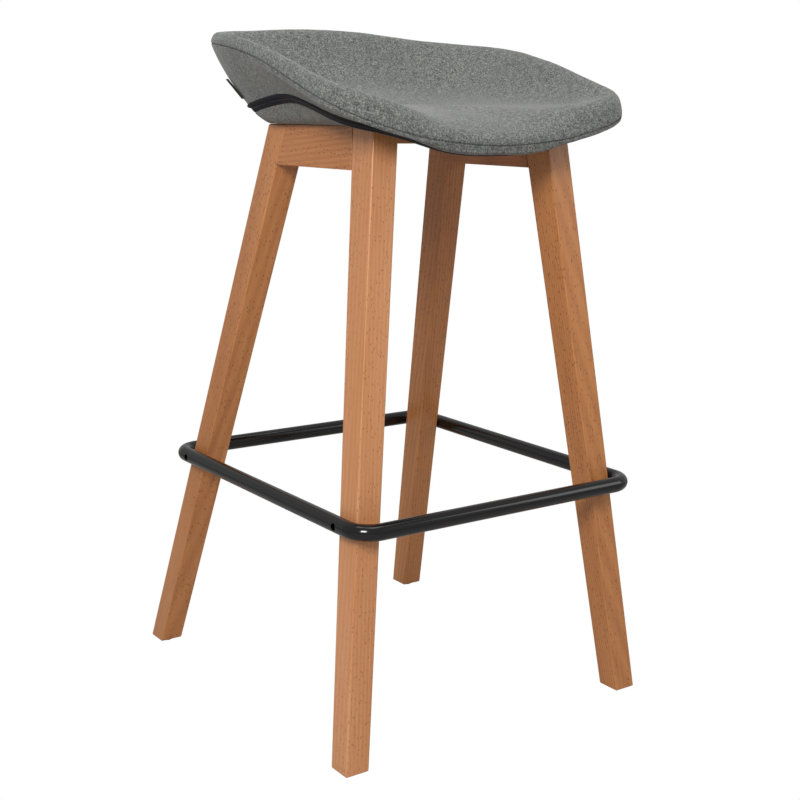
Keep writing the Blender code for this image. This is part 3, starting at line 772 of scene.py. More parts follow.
        name = f"side_rail_{side.name.lower()}"
        timber = self.bar(f"beech_{name}", corner, Vector((0, 1, 0)), self.arris / 3,
                          0.77 + 0.2 * side.value, self.plank(pale=False))
        return keep(timber, "beech", name)

    def under_rail(self, end: End) -> Piece:
        """Makes one of the flat rails that the seat is bolted to.

        Args:
            end: the end of the stool that it is at.

        Returns:
            The rail.
        """

        def corner(x_sign: int, y_sign: int, z_sign: int) -> Vector:
            """Returns the corner with these signs across, along and up."""
            wide, high = self.cross_rail
            z = self.top if z_sign > 0 else self.top - high
            x = self.outer_x(z) - self.section(z)[0] - self.joint_gap
            y = end.value * self.cross_rail_y + y_sign * wide / 2
            return Vector((x_sign * x, self.centre_y + y, z))

        name = f"cross_rail_{end.name.lower()}"
        timber = self.bar(f"beech_{name}", corner, Vector((1, 0, 0)), self.arris / 2,
                          1.37 + 0.2 * end.value, self.plank(pale=True))
        return keep(timber, "beech", name)

    def glide(self, side: Side, end: End, finish: Material) -> Piece:
        """Makes a nail-in glide with a domed edge, under one foot.

        Args:
            side: the sitter's side that it is on.
            end: the end of the stool that it is at.
            finish: its material.

        Returns:
            The glide.
        """
        name = corner_name("glide", end, side)
        spot = self.leg_middle(side, end, self.foot)
        head = self.foot - self.joint_gap
        reach, (pin, length) = self.glide_radius, self.glide_pin
        top = head + length
        rings = [Ring(pin * 0.4, top), Ring(pin, top - 0.002), Ring(pin, head + 0.0002),
                 Ring(reach - 0.0006, head), Ring(reach - 0.0001, head - 0.0005),
                 Ring(reach, head * 0.5)]
        for turn in map(math.radians, (20, 40, 60, 75, 90)):
            rings.append(Ring(reach * 0.8 + reach * 0.2 * math.cos(turn),
                              head * 0.5 * (1 - math.sin(turn))))
        made = turned(f"nylon_{name}", finish, rings, Matrix.Translation((spot.x, spot.y, 0.0)))
        return keep(made, "glide_plastic", name)

    def build(self) -> None:
        """Makes the legs, rails and glides."""
        nylon = MOULDED_NYLON.material()
        for side in Side:
            self.side_rail(side)
            for end in End:
                self.leg(side, end)
                self.glide(side, end, nylon)
        for end in End:
            self.under_rail(end)


# ---- footrest -----------------------------------------------------------------------


@dataclass
class FootrestRing:
    """A closed square of round tube, screwed to the outer side of each leg."""

    frame: WoodenFrame
    tube_radius: float = 0.0098
    wall: float = 0.0015
    bend: float = 0.027
    front_clear: float = 0.0156
    rear_clear: float = 0.0130
    access_radius: float = 0.0045
    screw_radius: float = 0.002
    sides: int = 40
    bend_steps: int = 20

    def __post_init__(self) -> None:
        """Takes the ring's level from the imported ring."""
        low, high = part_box("footrest_ring")
        self.height = (low.z + high.z) / 2
        self.half_width = high.x - self.tube_radius

    def reach(self, end: End) -> float:
        """Returns the ring's centre line from the frame's centre, at one end."""
        clear = self.front_clear if end is End.FRONT else self.rear_clear
        return self.frame.outer_y(self.height, end) + clear + self.tube_radius

    def centre_line(self) -> Iterator[tuple[Vector, Vector]]:
        """Yields points along the tube's middle and the way outwards from the loop."""
        corners = ((1, End.REAR, 0), (-1, End.REAR, 90), (-1, End.FRONT, 180), (1, End.FRONT, 270))
        for x_sign, end, start in corners:
            middle = Vector((x_sign * (self.half_width - self.bend),
                             self.frame.centre_y + end.value * (self.reach(end) - self.bend),
                             self.height))
            for step in range(self.bend_steps + 1):
                turn = math.radians(start + 90 * step / self.bend_steps)
                out = Vector((math.cos(turn), math.sin(turn), 0))
                yield middle + out * self.bend, out

    def skin(self, radius: float) -> list[Line]:
        """Lays rows of points round the tube.

        Args:
            radius: their distance from its middle.

        Returns:
            One row for each point of the centre line.
        """
        up = Vector((0, 0, 1))
        turns = [math.tau * i / self.sides for i in range(self.sides)]
        return [[spot + (out * math.cos(turn) + up * math.sin(turn)) * radius for turn in turns]
                for spot, out in self.centre_line()]

    def nearest_middle(self, point: Vector) -> Vector:
        """Finds the middle of the tube beside a point of its wall.

        Args:
            point: the point of the wall.

        Returns:
            The nearest point of the centre line.
        """
        x_reach = self.half_width - self.bend
        low = self.frame.centre_y - self.reach(End.FRONT) + self.bend
        high = self.frame.centre_y + self.reach(End.REAR) - self.bend
        inside = Vector((min(max(point.x, -x_reach), x_reach), min(max(point.y, low), high),
                         self.height))
        away = Vector((point.x - inside.x, point.y - inside.y, 0))
        return inside + away.normalized() * self.bend

    def screw_spots(self) -> Iterator[tuple[Side, End, float]]:
        """Yields each leg and the place along the stool where its screw goes in."""
        for side in Side:
            for end in End:
                yield side, end, self.frame.leg_middle(side, end, self.height).y

    def drills(self) -> Piece:
        """Makes the cutter for all access and screw holes.

        Returns:
            The cylinders, as one object.
        """
        bm = bmesh.new()
        for side, _, y in self.screw_spots():
            for radius, near, far in ((self.access_radius, 0.001, 0.016),
                                      (self.screw_radius + 0.0003, -0.001, -0.016)):
                middle = self.half_width + (near + far) / 2
                place = upright_at(Vector((side.value * middle, y, self.height)), Vector((1, 0, 0)))
                bmesh.ops.create_cone(bm, cap_ends=True, segments=32, radius1=radius,
                                      radius2=radius, depth=abs(far - near), matrix=place)
        return piece_from(bm, "drills", bpy.data.materials.new("drills"))

    def round_off(self, mesh: bpy.types.Mesh) -> None:
        """Gives the tube's curved faces the normals of a true round tube.

        Args:
            mesh: the drilled tube.
        """
        reach = [vert.co - self.nearest_middle(vert.co) for vert in mesh.vertices]
        normals: list[Vector] = [Vector((0, 0, 1))] * len(mesh.loops)
        for face in mesh.polygons:
            spans = [reach[i].length for i in face.vertices]
            slack = 0.2 * MM
            outer = min(spans) > self.tube_radius - slack
            inner = max(spans) < self.tube_radius - self.wall + slack
            for loop, index in zip(face.loop_indices, face.vertices):
                if outer or inner:
                    normals[loop] = reach[index].normalized() * (1 if outer else -1)
                else:
                    normals[loop] = face.normal.copy()
        mesh.normals_split_custom_set(normals)

    def screw(self, side: Side, end: End, y: float, finish: Material) -> Piece:
        """Makes one pan-head screw with a hexagon socket, inside the tube.

        Args:
            side: the sitter's side that it is on.
            end: the end of the stool that it is at.
            y: its place along the stool.
            finish: its material.

        Returns:
            The screw.
        """
        name = corner_name("footrest_screw", end, side)
        seat = self.half_width - self.tube_radius + self.wall + 0.0003
        rings = [Ring(0.0010, 0.0012, True), Ring(0.0013, 0.0012, True), Ring(0.0013, 0.0030, True),
                 Ring(0.0026, 0.0030), Ring(0.0034, 0.0022), Ring(0.0037, 0.0012),
                 Ring(0.0037, 0.0008), Ring(self.screw_radius, 0.0007)]
        pitch = 0.0018
        for turn in range(10):
            z = -0.003 - turn * pitch
            rings += [Ring(self.screw_radius, z), Ring(0.0015, z - pitch / 2)]
        rings.append(Ring(0.0003, -0.0235))
        place = upright_at(Vector((side.value * seat, y, self.height)),
                           Vector((side.value, 0, 0)))
        return keep(turned(name.replace("footrest", "pan_head"), finish, rings, place),
                    "zinc_steel", name)

    def build(self) -> None:
        """Makes the ring, bored and drilled, and its four screws."""
        bm = bmesh.new()
        add_sweep(bm, self.skin(self.tube_radius), True)
        bmesh.ops.recalc_face_normals(bm, faces=bm.faces)
        outside = set(bm.faces)
        add_sweep(bm, self.skin(self.tube_radius - self.wall), True)
        inside = [face for face in bm.faces if face not in outside]
        bmesh.ops.recalc_face_normals(bm, faces=inside)
        bmesh.ops.reverse_faces(bm, faces=inside)
        tube = piece_from(bm, "footrest_tube", GLOSS_POWDER.material())
        cut_away(tube, self.drills())
        self.round_off(tube.data)
        keep(tube, "black_powder_coat", "footrest_ring")
        zinc = ZINC_PLATE.material()
        for side, end, y in self.screw_spots():
            self.screw(side, end, y, zinc)


# ---- seat form ----------------------------------------------------------------------


@dataclass
class SeatForm:
    """The scoop's shape: its outline in metres, and its sections at bearings in millimetres.

    Bearings go round from the front, and both halves are alike. Insets are from the seam
    line towards the middle, and heights are above the frame's top. A pair of rows holds a
    point's insets and its heights at the bearings; seam holds bearings and heights.
    """

    centre_y: float
    base_z: float
    half_width: float = 0.2166
    front: float = 0.1650
    rear: float = 0.2080
    front_squareness: float = 8.6
    rear_squareness: float = 4.2
    inner_share: float = 0.36
    lay: float = 0.0003    # the underside's height over the frame
    pan_height: float = 24
    steps: int = 10    # between one of a section's points and the next
    bearings: tuple[float, ...] = (0, 25, 50, 90, 130, 180)
    seam: tuple[tuple[float, float], ...] = (
        (0, -20), (30, -13), (45, 2), (60, 28), (90, 70), (120, 93), (180, 105))
    flat_edge_inset: tuple[float, ...] = (47, 52, 65, 70, 74, 90)
    belly: tuple[tuple[float, ...], ...] = ((32, 36, 49, 56, 62, 70), (-14, -11, 0.5, 8, 6, 7))
    zip_low: tuple[tuple[float, ...], ...] = (
        (19, 23, 33, 43, 53, 52), (-32, -27.5, -5, 24, 13, 14))
    zip_high: tuple[tuple[float, ...], ...] = (
        (10, 12, 26, 34, 46, 44), (-31, -26.5, 2, 33, 21, 22))
    wall: tuple[tuple[float, ...], ...] = ((2.5, 3, 9, 12, 17, 18), (-28, -24, 4, 54, 61, 63))
    crest_rise: tuple[float, ...] = (13, 13.5, 20, 14.5, 12.5, 17)
    lip: tuple[tuple[float, ...], ...] = (
        (18, 18, 16, 15, 17, 17), (0, 5, 36, 81.5, 104.5, 118))
    inner_wall: tuple[tuple[float, ...], ...] = ((32, 33, 30, 26, 33, 32), (6, 10, 33, 65, 86, 95))
    crease: tuple[tuple[float, ...], ...] = ((48, 50, 48, 42, 58, 54), (11, 14, 30, 47, 59, 65))
    pan_rim: tuple[tuple[float, ...], ...] = ((60, 66, 62, 60, 74, 72), (14, 17, 27, 35, 46, 50))
    pan: tuple[tuple[float, ...], ...] = ((84, 92, 98, 92, 112, 108), (19, 21, 25, 28, 33, 36))

    FLAT_EDGE, ZIP_LOWER, ZIP_UPPER, SHELL_EDGE, SEAM, LAST = 1, 3, 4, 6, 7, 15

    def between(self, knots: Sequence[tuple[float, float]], bearing: float) -> float:
        """Reads a smooth curve, level at both ends.

        Args:
            knots: the (bearing, value) pairs that it goes through.
            bearing: where it is read.

        Returns:
            Its value there.
        """
        turn = abs((bearing + 180) % 360 - 180)
        angles = [angle for angle, _ in knots]
        values = [value for _, value in knots]
        slopes = [0.0] * len(knots)
        for i in range(1, len(knots) - 1):
            slopes[i] = (values[i + 1] - values[i - 1]) / (angles[i + 1] - angles[i - 1])
        i = max(k for k in range(len(knots) - 1) if angles[k] <= turn)
        span = angles[i + 1] - angles[i]
        t = (turn - angles[i]) / span
        ease = t * t * (3 - 2 * t)
        lead = t * (1 - t) * (1 - t) * span * slopes[i]
        trail = t * t * (1 - t) * span * slopes[i + 1]
        return values[i] + (values[i + 1] - values[i]) * ease + lead - trail

    def around(self, values: Sequence[float], bearing: float) -> float:
        """Returns one station value at a bearing."""
        return self.between(list(zip(self.bearings, values)), bearing)

    def reach(self, bearing: float) -> float:
        """Measures the outline.

        Args:
            bearing: where it is measured.

        Returns:
            The seam line's distance from the frame's centre.
        """
        angle = math.radians(bearing)
        across, along = math.sin(angle), math.cos(angle)
        rear_share = min(1.0, max(0.0, (abs((bearing + 180) % 360 - 180) - 60) / 60))
        power = self.front_squareness + (self.rear_squareness - self.front_squareness) * rear_share
        length = self.front if along > 0 else self.rear
        total = abs(across / self.half_width) ** power + abs(along / length) ** power
        return total ** (-1 / power)

    def place(self, bearing: float, radius: float, height: float) -> Vector:
        """Turns a point of a section to the row frame."""
        angle = math.radians(bearing)
        return Vector((radius * math.sin(angle), self.centre_y - radius * math.cos(angle),
                       self.base_z + height))

    def section(self, bearing: float) -> list[tuple[float, float]]:
        """Draws one section through the seat.

        Args:
            bearing: where it is cut.

        Returns:
            Its (radius, height) points, from under the middle, round the rim, to the top.
        """
        reach = self.reach(bearing)
        seam = self.between(self.seam, bearing)

        def at(inset: float, height: float) -> tuple[float, float]:
            """Returns a point in metres."""
            return reach - inset * MM, height * MM

        def station(pair: tuple[tuple[float, ...], ...]) -> tuple[float, float]:
            """Returns a point whose inset and height change round the seat."""
            return at(self.around(pair[0], bearing), self.around(pair[1], bearing))

        share = reach * self.inner_share
        return [
            (share, self.lay),
            at(self.around(self.flat_edge_inset, bearing), self.lay / MM),
            station(self.belly), station(self.zip_low), station(self.zip_high),
            station(self.wall), at(1.6, seam - 5.5), at(0, seam), at(0.4, seam + 5),
            at(6, seam + self.around(self.crest_rise, bearing)),
            station(self.lip), station(self.inner_wall), station(self.crease),
            station(self.pan_rim), station(self.pan),
            (share, (self.pan_height + 1) * MM),
        ]

    def point(self, bearing: float, rank: int) -> Vector:
        """Returns one of a section's points, in the row frame."""
        return self.place(bearing, *self.section(bearing)[rank])

    def fine(self, bearing: float, first: int, last: int) -> list[tuple[float, float]]:
        """Draws a smooth line through a section's points.

        Args:
            bearing: where the section is cut.
            first: the rank of the point where the line starts.
            last: the rank of the point where it ends.

        Returns:
            The line's (radius, height) points.
        """
        ends = self.section(bearing)
        line: list[tuple[float, float]] = []
        for rank in range(first, last):
            four = [ends[min(max(rank + k, 0), len(ends) - 1)] for k in (-1, 0, 1, 2)]
            for step in range(self.steps):
                line.append(blended(four, step / self.steps))
        line.append(ends[last])
        return line

    def bearings_round(self, count: int) -> list[float]:
        """Returns bearings all round, closest together at the four corners."""
        even = [360 * i / count for i in range(count)]
        return [turn + 6.0 * math.sin(math.radians(4 * turn)) for turn in even]


def blended(four: Sequence[tuple[float, float]], t: float) -> tuple[float, float]:
    """Finds a point between the middle two of four points, on a curve that doesn't loop.

    The knots follow the square root of the distances between the points, so that a long
    span beside a short one isn't thrown out.

    Args:
        four: the points.
        t: how far it is from the second point to the third, from 0 to 1.

    Returns:
        The point.
    """
    knots = [0.0]
    for a, b in zip(four, four[1:]):
        knots.append(knots[-1] + max(math.dist(a, b) ** 0.5, 1e-5))
    at = knots[1] + (knots[2] - knots[1]) * t
    line = list(four)
    for spans in (((0, 1), (1, 2), (2, 3)), ((0, 2), (1, 3)), ((1, 2),)):
        for i, (low, high) in enumerate(spans):
            share = (at - knots[low]) / (knots[high] - knots[low])
            line[i] = tuple(p + (q - p) * share for p, q in zip(line[i], line[i + 1]))
    return line[0]


def spaced(line: Sequence[tuple[float, float]], near: Sequence[float], far: Sequence[float],
           middle: int) -> list[tuple[float, float, float, float, float]]:
    """Samples a line closely at its ends and evenly between them.

    Args:
        line: (radius, height) points.
        near: distances from the line's start, in metres.
        far: distances from the line's end.
        middle: how many even steps lie between the two.

    Returns:
        For each sample its radius, height, outward normal (two numbers) and distance
        from the start.
    """
    lengths = [0.0]
    for a, b in zip(line, line[1:]):
        lengths.append(lengths[-1] + math.dist(a, b))
    total = lengths[-1]
    start, stop = near[-1], total - far[-1]
    stops = list(near)
    stops += [start + (stop - start) * (i + 1) / (middle + 1) for i in range(middle)]
    stops += [total - gap for gap in reversed(far)]
    made, i = [], 0
    for stop in stops:
        while i < len(lengths) - 2 and lengths[i + 1] < stop:
            i += 1
        (r0, h0), (r1, h1) = line[i], line[i + 1]
        span = max(lengths[i + 1] - lengths[i], 1e-9)
        t = (stop - lengths[i]) / span
        size = math.hypot(r1 - r0, h1 - h0) or 1.0
        made.append((r0 + (r1 - r0) * t, h0 + (h1 - h0) * t, (h1 - h0) / size, (r0 - r1) / size,
                     stop))
    return made


# ---- upholstery ---------------------------------------------------------------------


@dataclass
class Upholstery:
    """Foam on a moulded shell, in a felt cover of three panels with a zip underneath."""

    form: SeatForm
    cover: float = 0.0015
    around: int = 320
    piping_radius: float = 0.0022
    piping_lift_mm: float = 0.1         # how far its core stands out of the skin
    piping_sink_mm: float = 2.6         # how far it goes in at the front, where it is hidden
    piping_sinks_within: float = 68     # the bearing where that starts
    piping_sinks_over: float = 16       # and over how many degrees it comes about
    tape_thickness: float = 0.0006
    seam_depth: float = 0.0011
    seam_width: float = 0.0009
    stitch_pitch: float = 0.0036
    tooth_pitch: float = 0.0021
    sewn_rows_mm: tuple[float, ...] = (0, 0.45, 0.9, 1.4, 2.0, 3.0, 4.5, 7.0)
    inner_rings: tuple[float, ...] = (0.30, 0.22, 0.14, 0.07)
    label_bearing: float = -126
    label_size: tuple[float, float] = (0.024, 0.030)

    def tuck(self, distance: float) -> float:
        """Returns how deep a panel dives at a distance from its sewn edge."""
        return self.seam_depth * math.exp(-((distance / self.seam_width) ** 2))

    def pucker(self, bearing: float, distance: float) -> float:
        """Works out how far the thread gathers the cloth in.

        Args:
            bearing: the place round the seat.
            distance: how far the sewn edge is.

        Returns:
            The depth, which is negative where the cloth stands out.
        """
        along = math.radians(bearing) * 0.2
        wave = noise.noise(Vector((along / 0.011, distance / 0.03, 3.7)))
        return 0.45 * MM * wave * math.exp(-distance / 0.013)

    def undulation(self, spot: Vector) -> float:
        """Returns the slow unevenness of cloth drawn over foam by hand."""
        return 0.5 * MM * noise.noise(spot / 0.055) + 0.16 * MM * noise.noise(spot / 0.017)

    def panel_row(self, bearing: float, ranks: tuple[int, int], sewn: tuple[bool, bool],
                  middle: int) -> Line:
        """Returns one line of points across a panel.

        Args:
            bearing: the section's bearing.
            ranks: the section's ranks where the panel starts and ends.
            sewn: whether its first and its last edge are tucked into a seam.
            middle: even steps between the edges.

        Returns:
            The points, in the row frame.
        """
        close = [gap * MM for gap in self.sewn_rows_mm]
        line = self.form.fine(bearing, *ranks)
        samples = spaced(line, close if sewn[0] else [0.0], close if sewn[1] else [0.0], middle)
        total, row = samples[-1][4], []
        for radius, height, out, up, gone in samples:
            spot = self.form.place(bearing, radius, height)
            sink = -self.undulation(spot)
            for used, gap in zip(sewn, (gone, total - gone)):
                if used:
                    sink += self.tuck(gap) + self.pucker(bearing, gap)
            row.append(self.form.place(bearing, radius - out * sink, height - up * sink))
        return row

    def to_the_middle(self, bearing: float, edge: Vector, level: float) -> Line:
        """Carries a panel on towards the middle of the seat.

        Args:
            bearing: the section's bearing.
            edge: the innermost point of the panel's row.
            level: the height at the middle, over the frame.

        Returns:
            The points further in.
        """
        reach = self.form.reach(bearing)
        start = edge.z - self.form.base_z
        line = []
        for share in self.inner_rings:
            ease = (share / self.form.inner_share) ** 2
            line.append(self.form.place(bearing, reach * share, level + (start - level) * ease))
        return line

    def as_cloth(self, panel: Piece) -> Piece:
        """Gives a panel the felt's thickness, inwards.

        Args:
            panel: the panel's outer face.

        Returns:
            The same panel.
        """
        thick = panel.modifiers.new("cloth_thickness", "SOLIDIFY")
        thick.thickness = self.cover
        thick.offset = -1.0
        return panel

    def top_panel(self, felt: Material) -> Piece:
        """Makes the panel that lines the scoop and rolls over the rim to the seam.

        Args:
            felt: its material.

        Returns:
            The panel.
        """
        level = self.form.pan_height * MM
        rows = []
        for bearing in self.form.bearings_round(self.around):
            row = self.panel_row(bearing, (self.form.SEAM, self.form.LAST), (True, False), 44)
            rows.append(row + self.to_the_middle(bearing, row[-1], level))
        pole = self.form.place(0, 0, level)
        return self.as_cloth(swept("felt_top_panel", felt, rows, last_pole=pole))

    def side_panel(self, felt: Material) -> Piece:
        """Makes the band between the seam and the piping.

        Args:
            felt: its material.

        Returns:
            The panel.
        """
        rows = [self.panel_row(bearing, (self.form.ZIP_UPPER, self.form.SEAM), (True, True), 18)
                for bearing in self.form.bearings_round(self.around)]
        return self.as_cloth(swept("felt_side_panel", felt, rows))

    def under_panel(self, felt: Material) -> Piece:
        """Makes the panel under the seat, which lies flat on the frame.

        Args:
            felt: its material.

        Returns:
            The panel.
        """
        rows = []
        for bearing in self.form.bearings_round(self.around):
            row = self.panel_row(bearing, (0, self.form.ZIP_LOWER), (False, True), 24)
            flat_to, _ = self.form.section(bearing)[self.form.FLAT_EDGE]
            for spot in row:
                if math.hypot(spot.x, spot.y - self.form.centre_y) <= flat_to:
                    spot.z = max(spot.z, self.form.base_z + self.form.lay)
            rows.append(self.to_the_middle(bearing, row[0], self.form.lay)[::-1] + row)
        pole = self.form.place(0, 0, self.form.lay)
        return self.as_cloth(swept("felt_under_panel", felt, rows, first_pole=pole))

    def seam_frame(self, bearing: float, rank: int) -> tuple[Vector, Vector, Vector, Vector]:
        """Finds a place on the skin and the ways that lead from it.

        Args:
            bearing: the place's bearing.
            rank: its rank in the section.

        Returns:
            The place, and the ways along the seam, outwards, and across the seam.
        """
        low, high = (self.form.point(bearing, rank + step) for step in (-1, 1))
        behind, ahead = (self.form.point(bearing + turn, rank) for turn in (-0.5, 0.5))
        along = (ahead - behind).normalized()
        out = along.cross(high - low).normalized()
        return self.form.point(bearing, rank), along, out, out.cross(along).normalized()

    def stitches(self) -> Iterator[Matrix]:
        """Yields the placements of the seam's stitches, let a little into the felt."""
        seam = self.form.SEAM
        start = self.form.point(0, seam)
        for bearing, spot in even_stops(lambda turn: self.form.point(turn, seam), start, 1440,
                                        self.stitch_pitch):
            _, along, out, across = self.seam_frame(bearing, seam)
            yield Matrix.Translation(spot + out * (-0.55 * MM)) @ facing(along, out, across)

    def thread(self, finish: Material) -> Piece:
        """Makes the lockstitch that shows as short dashes in the seam."""
        size = Vector((self.stitch_pitch * 0.72, 0.0007, 0.0007))
        return repeated_block("seam_thread", finish, size, 0.00022, self.stitches())

    def zip_line(self, bearing: float, share: float, lift: float) -> Vector:
        """Finds a point of the zip.

        Args:
            bearing: its bearing.
            share: how far it is from the zip's lower edge to its upper edge.
            lift: how far it stands off the skin.

        Returns:
            The point.
        """
        low, high = (self.form.point(bearing, rank)
                     for rank in (self.form.ZIP_LOWER, self.form.ZIP_UPPER))
        _, _, out, _ = self.seam_frame(bearing, self.form.ZIP_UPPER)
        return low.lerp(high, share) + out * lift

    def zip_tape(self, finish: Material) -> Piece:
        """Makes the two woven tapes, which dip to the coil between them.

        Args:
            finish: their material.

        Returns:
            Both tapes, as one object.
        """
        profile = ((-0.10, -1.3), (0.05, -0.4), (0.18, 0.1), (0.36, 0.1), (0.43, -0.6),
                   (0.50, -1.1), (0.57, -0.6), (0.64, 0.1), (0.85, 0.1), (1.0, -0.8))
        rows = [[self.zip_line(bearing, share, lift * MM) for share, lift in profile]
                for bearing in self.form.bearings_round(self.around)]
        tape = swept("zip_tapes", finish, rows)
        thick = tape.modifiers.new("tape_thickness", "SOLIDIFY")
        thick.thickness = self.tape_thickness
        thick.offset = -1.0
        return tape

    def teeth(self) -> Iterator[Matrix]:
        """Yields the placements of the zip's teeth, which take turns on its two sides."""
        side = 1
        start = self.zip_line(0, 0.5, 0)
        for bearing, spot in even_stops(lambda turn: self.zip_line(turn, 0.5, -0.45 * MM), start,
                                        2880, self.tooth_pitch / 2):
            side = -side
            along = self.zip_line(bearing + 0.4, 0.5, 0) - self.zip_line(bearing - 0.4, 0.5, 0)
            across = self.zip_line(bearing, 1, 0) - self.zip_line(bearing, 0, 0)
            out = along.cross(across).normalized()
            across = out.cross(along.normalized()).normalized()
            turn = facing(along.normalized(), out, across)
            yield Matrix.Translation(spot + across * (side * 0.55 * MM)) @ turn

    def zip_coil(self, finish: Material) -> Piece:
        """Makes the zip's teeth, each half hooked over the next."""
        size = Vector((0.85, 1.0, 2.3)) * MM
        return repeated_block("zip_coil", finish, size, 0.28 * MM, self.teeth())

    def piping(self, finish: Material) -> Piece:
        """Makes the covered cord between the side panel and the zip.

        Under the front edge it is let into the foam, so that it doesn't hang below the seat.

        Args:
            finish: its material.

        Returns:
            The cord.
        """
        rows = []
        for bearing in self.form.bearings_round(self.around):
            spot, _, out, up = self.seam_frame(bearing, self.form.ZIP_UPPER)
            turned_by = abs((bearing + 180) % 360 - 180)
            sunk = (self.piping_sinks_within - turned_by) / self.piping_sinks_over
            sunk = min(1.0, max(0.0, sunk))
            core = spot + out * (self.piping_lift_mm - self.piping_sink_mm * sunk) * MM
            turns = [math.tau * k / 14 for k in range(14)]
            rows.append([core + (up * math.cos(turn) + out * math.sin(turn)) * self.piping_radius
                         for turn in turns])
        return swept("piping_cord", finish, rows, closed_across=True)

    def foam(self, finish: Material) -> Piece:
        """Makes the moulded foam under the covers, which fills the rim.

        Args:
            finish: its material.

        Returns:
            The foam.
        """
        under, over = self.cover + 0.0052, self.cover + 0.0006
        rows = []
        for bearing in self.form.bearings_round(self.around // 2):
            row = []
            for ranks, depth in (((0, self.form.SHELL_EDGE), under),
                                 ((self.form.SHELL_EDGE, self.form.LAST), over)):
                line = self.form.fine(bearing, *ranks)
                for radius, height, out, up, _ in spaced(line, [0.0], [0.0], 26):
                    row.append(self.form.place(bearing, radius - out * depth, height - up * depth))
            rows.append(row)
        low = self.form.place(0, 0, self.form.lay + under)
        high = self.form.place(0, 0, self.form.pan_height * MM - over)
        return swept("moulded_foam", finish, rows, first_pole=low, last_pole=high)

    def label(self, finish: Material) -> Piece:
        """Makes the plain woven tab, sewn on at its lower edge; its two layers are one slab.

        Args:
            finish: its material.

        Returns:
            The label.
        """
        rank = self.form.ZIP_UPPER
        low, high = (self.form.point(self.label_bearing, rank + step) for step in (0, 1))
        along = self.seam_frame(self.label_bearing, rank + 1)[1]
        up = (high - low).normalized()
        out = along.cross(up).normalized()
        middle = (low + high) / 2 + up * 1.8 * MM
        wide, tall = self.label_size
        columns, rises = 24, 12
        sides = 2 * (rises + 1)
        bm = bmesh.new()
        layer = bm.loops.layers.uv.new(WEAVE_MAP)
        verts = []
        for i in range(columns + 1):
            column = middle + along * (wide * (i / columns - 0.5))
            row = []
            for thick, order in ((0.0, range(rises + 1)), (1.1, range(rises, -1, -1))):
                for rise in (j / rises for j in order):
                    lift = 1.0 + 1.8 * rise + thick
                    row.append(bm.verts.new(column + up * (tall * (rise - 0.5)) + out * lift * MM))
            verts.append(row)
        for i in range(columns):
            for j in range(sides):
                k = (j + 1) % sides
                face = bm.faces.new((verts[i][j], verts[i + 1][j], verts[i + 1][k], verts[i][k]))
                spots = ((i, j), (i + 1, j), (i + 1, j + 1), (i, j + 1))
                for loop, (a, b) in zip(face.loops, spots):
                    loop[layer].uv = (a * wide / columns, b * tall / rises)
        bm.faces.new(verts[0])
        bm.faces.new(verts[-1])
        bmesh.ops.recalc_face_normals(bm, faces=bm.faces)
        return piece_from(bm, "plain_label", finish)

    def parking(self) -> tuple[Vector, Vector]:
        """Returns where the slider is parked, at the rear, and the way out from the seat."""
        across = self.zip_line(180, 1, 0) - self.zip_line(180, 0, 0)
        out = Vector((1, 0, 0)).cross(across.normalized()).normalized()
        return self.zip_line(180, 0.5, 0.4 * MM), out * (-1 if out.y < 0 else 1)

    def slider(self, finish: Material) -> Piece:
        """Makes the zip's slider, parked at the rear, from its plates and its bridge.

        Args:
            finish: its material.

        Returns:
            The slider, without its pull.
        """
        spot, out = self.parking()
        across = (self.zip_line(180, 1, 0) - self.zip_line(180, 0, 0)).normalized()
        parked = Matrix.Translation(spot) @ facing(Vector((1, 0, 0)), out, across)
        bm = bmesh.new()
        for size, place in (((8.5, 0.9, 6.4), (0, 0.9, 0)), ((8.0, 1.3, 0.8), (0, 0.2, 3.0)),
                            ((8.0, 1.3, 0.8), (0, 0.2, -3.0)), ((0.9, 1.6, 1.4), (-2.6, 1.9, 0)),
                            ((0.9, 1.6, 1.4), (2.2, 1.9, 0)), ((5.7, 0.7, 1.4), (-0.2, 2.6, 0))):
            add_block(bm, Vector(size) * MM, parked @ Matrix.Translation(Vector(place) * MM),
                      0.25 * MM)
        return piece_from(bm, "slider_body", finish)

    def pull(self, finish: Material) -> Piece:
        """Makes the slider's pull, a flat tab with round ends that hangs from a hole.

        Args:
            finish: its material.

        Returns:
            The pull.
        """
        spot, out = self.parking()
        hang = Vector((0, 0, -1))
        flat = out.cross(hang).normalized()
        hung = facing(flat, hang.cross(flat).normalized(), hang)
        root = Matrix.Translation(spot + out * 2.0 * MM) @ hung
        half_width, straight, drop = 2.3, 6.0, 6.5
        depth = Vector((0, 0.55, 0))
        soft = Vector((0.94, 0, 0.985))    # how much smaller its faces are than its edge
        rows = []
        for turn in (math.tau * i / 48 for i in range(48)):
            cos, sin = math.cos(turn), math.sin(turn)
            end = straight if sin > 0 else -straight
            edge = Vector((half_width * cos, 0, end + half_width * sin + drop))
            face = Vector((edge.x * soft.x, 0, edge.z * soft.z))
            hole = Vector((1.25 * cos, 0, 1.4 * sin + 1.1))
            rows.append([root @ (point * MM) for point in (
                hole + depth, face + depth, edge + depth * 0.5, edge - depth * 0.5,
                face - depth, hole - depth)])
        return swept("slider_pull", finish, rows, closed_across=True)

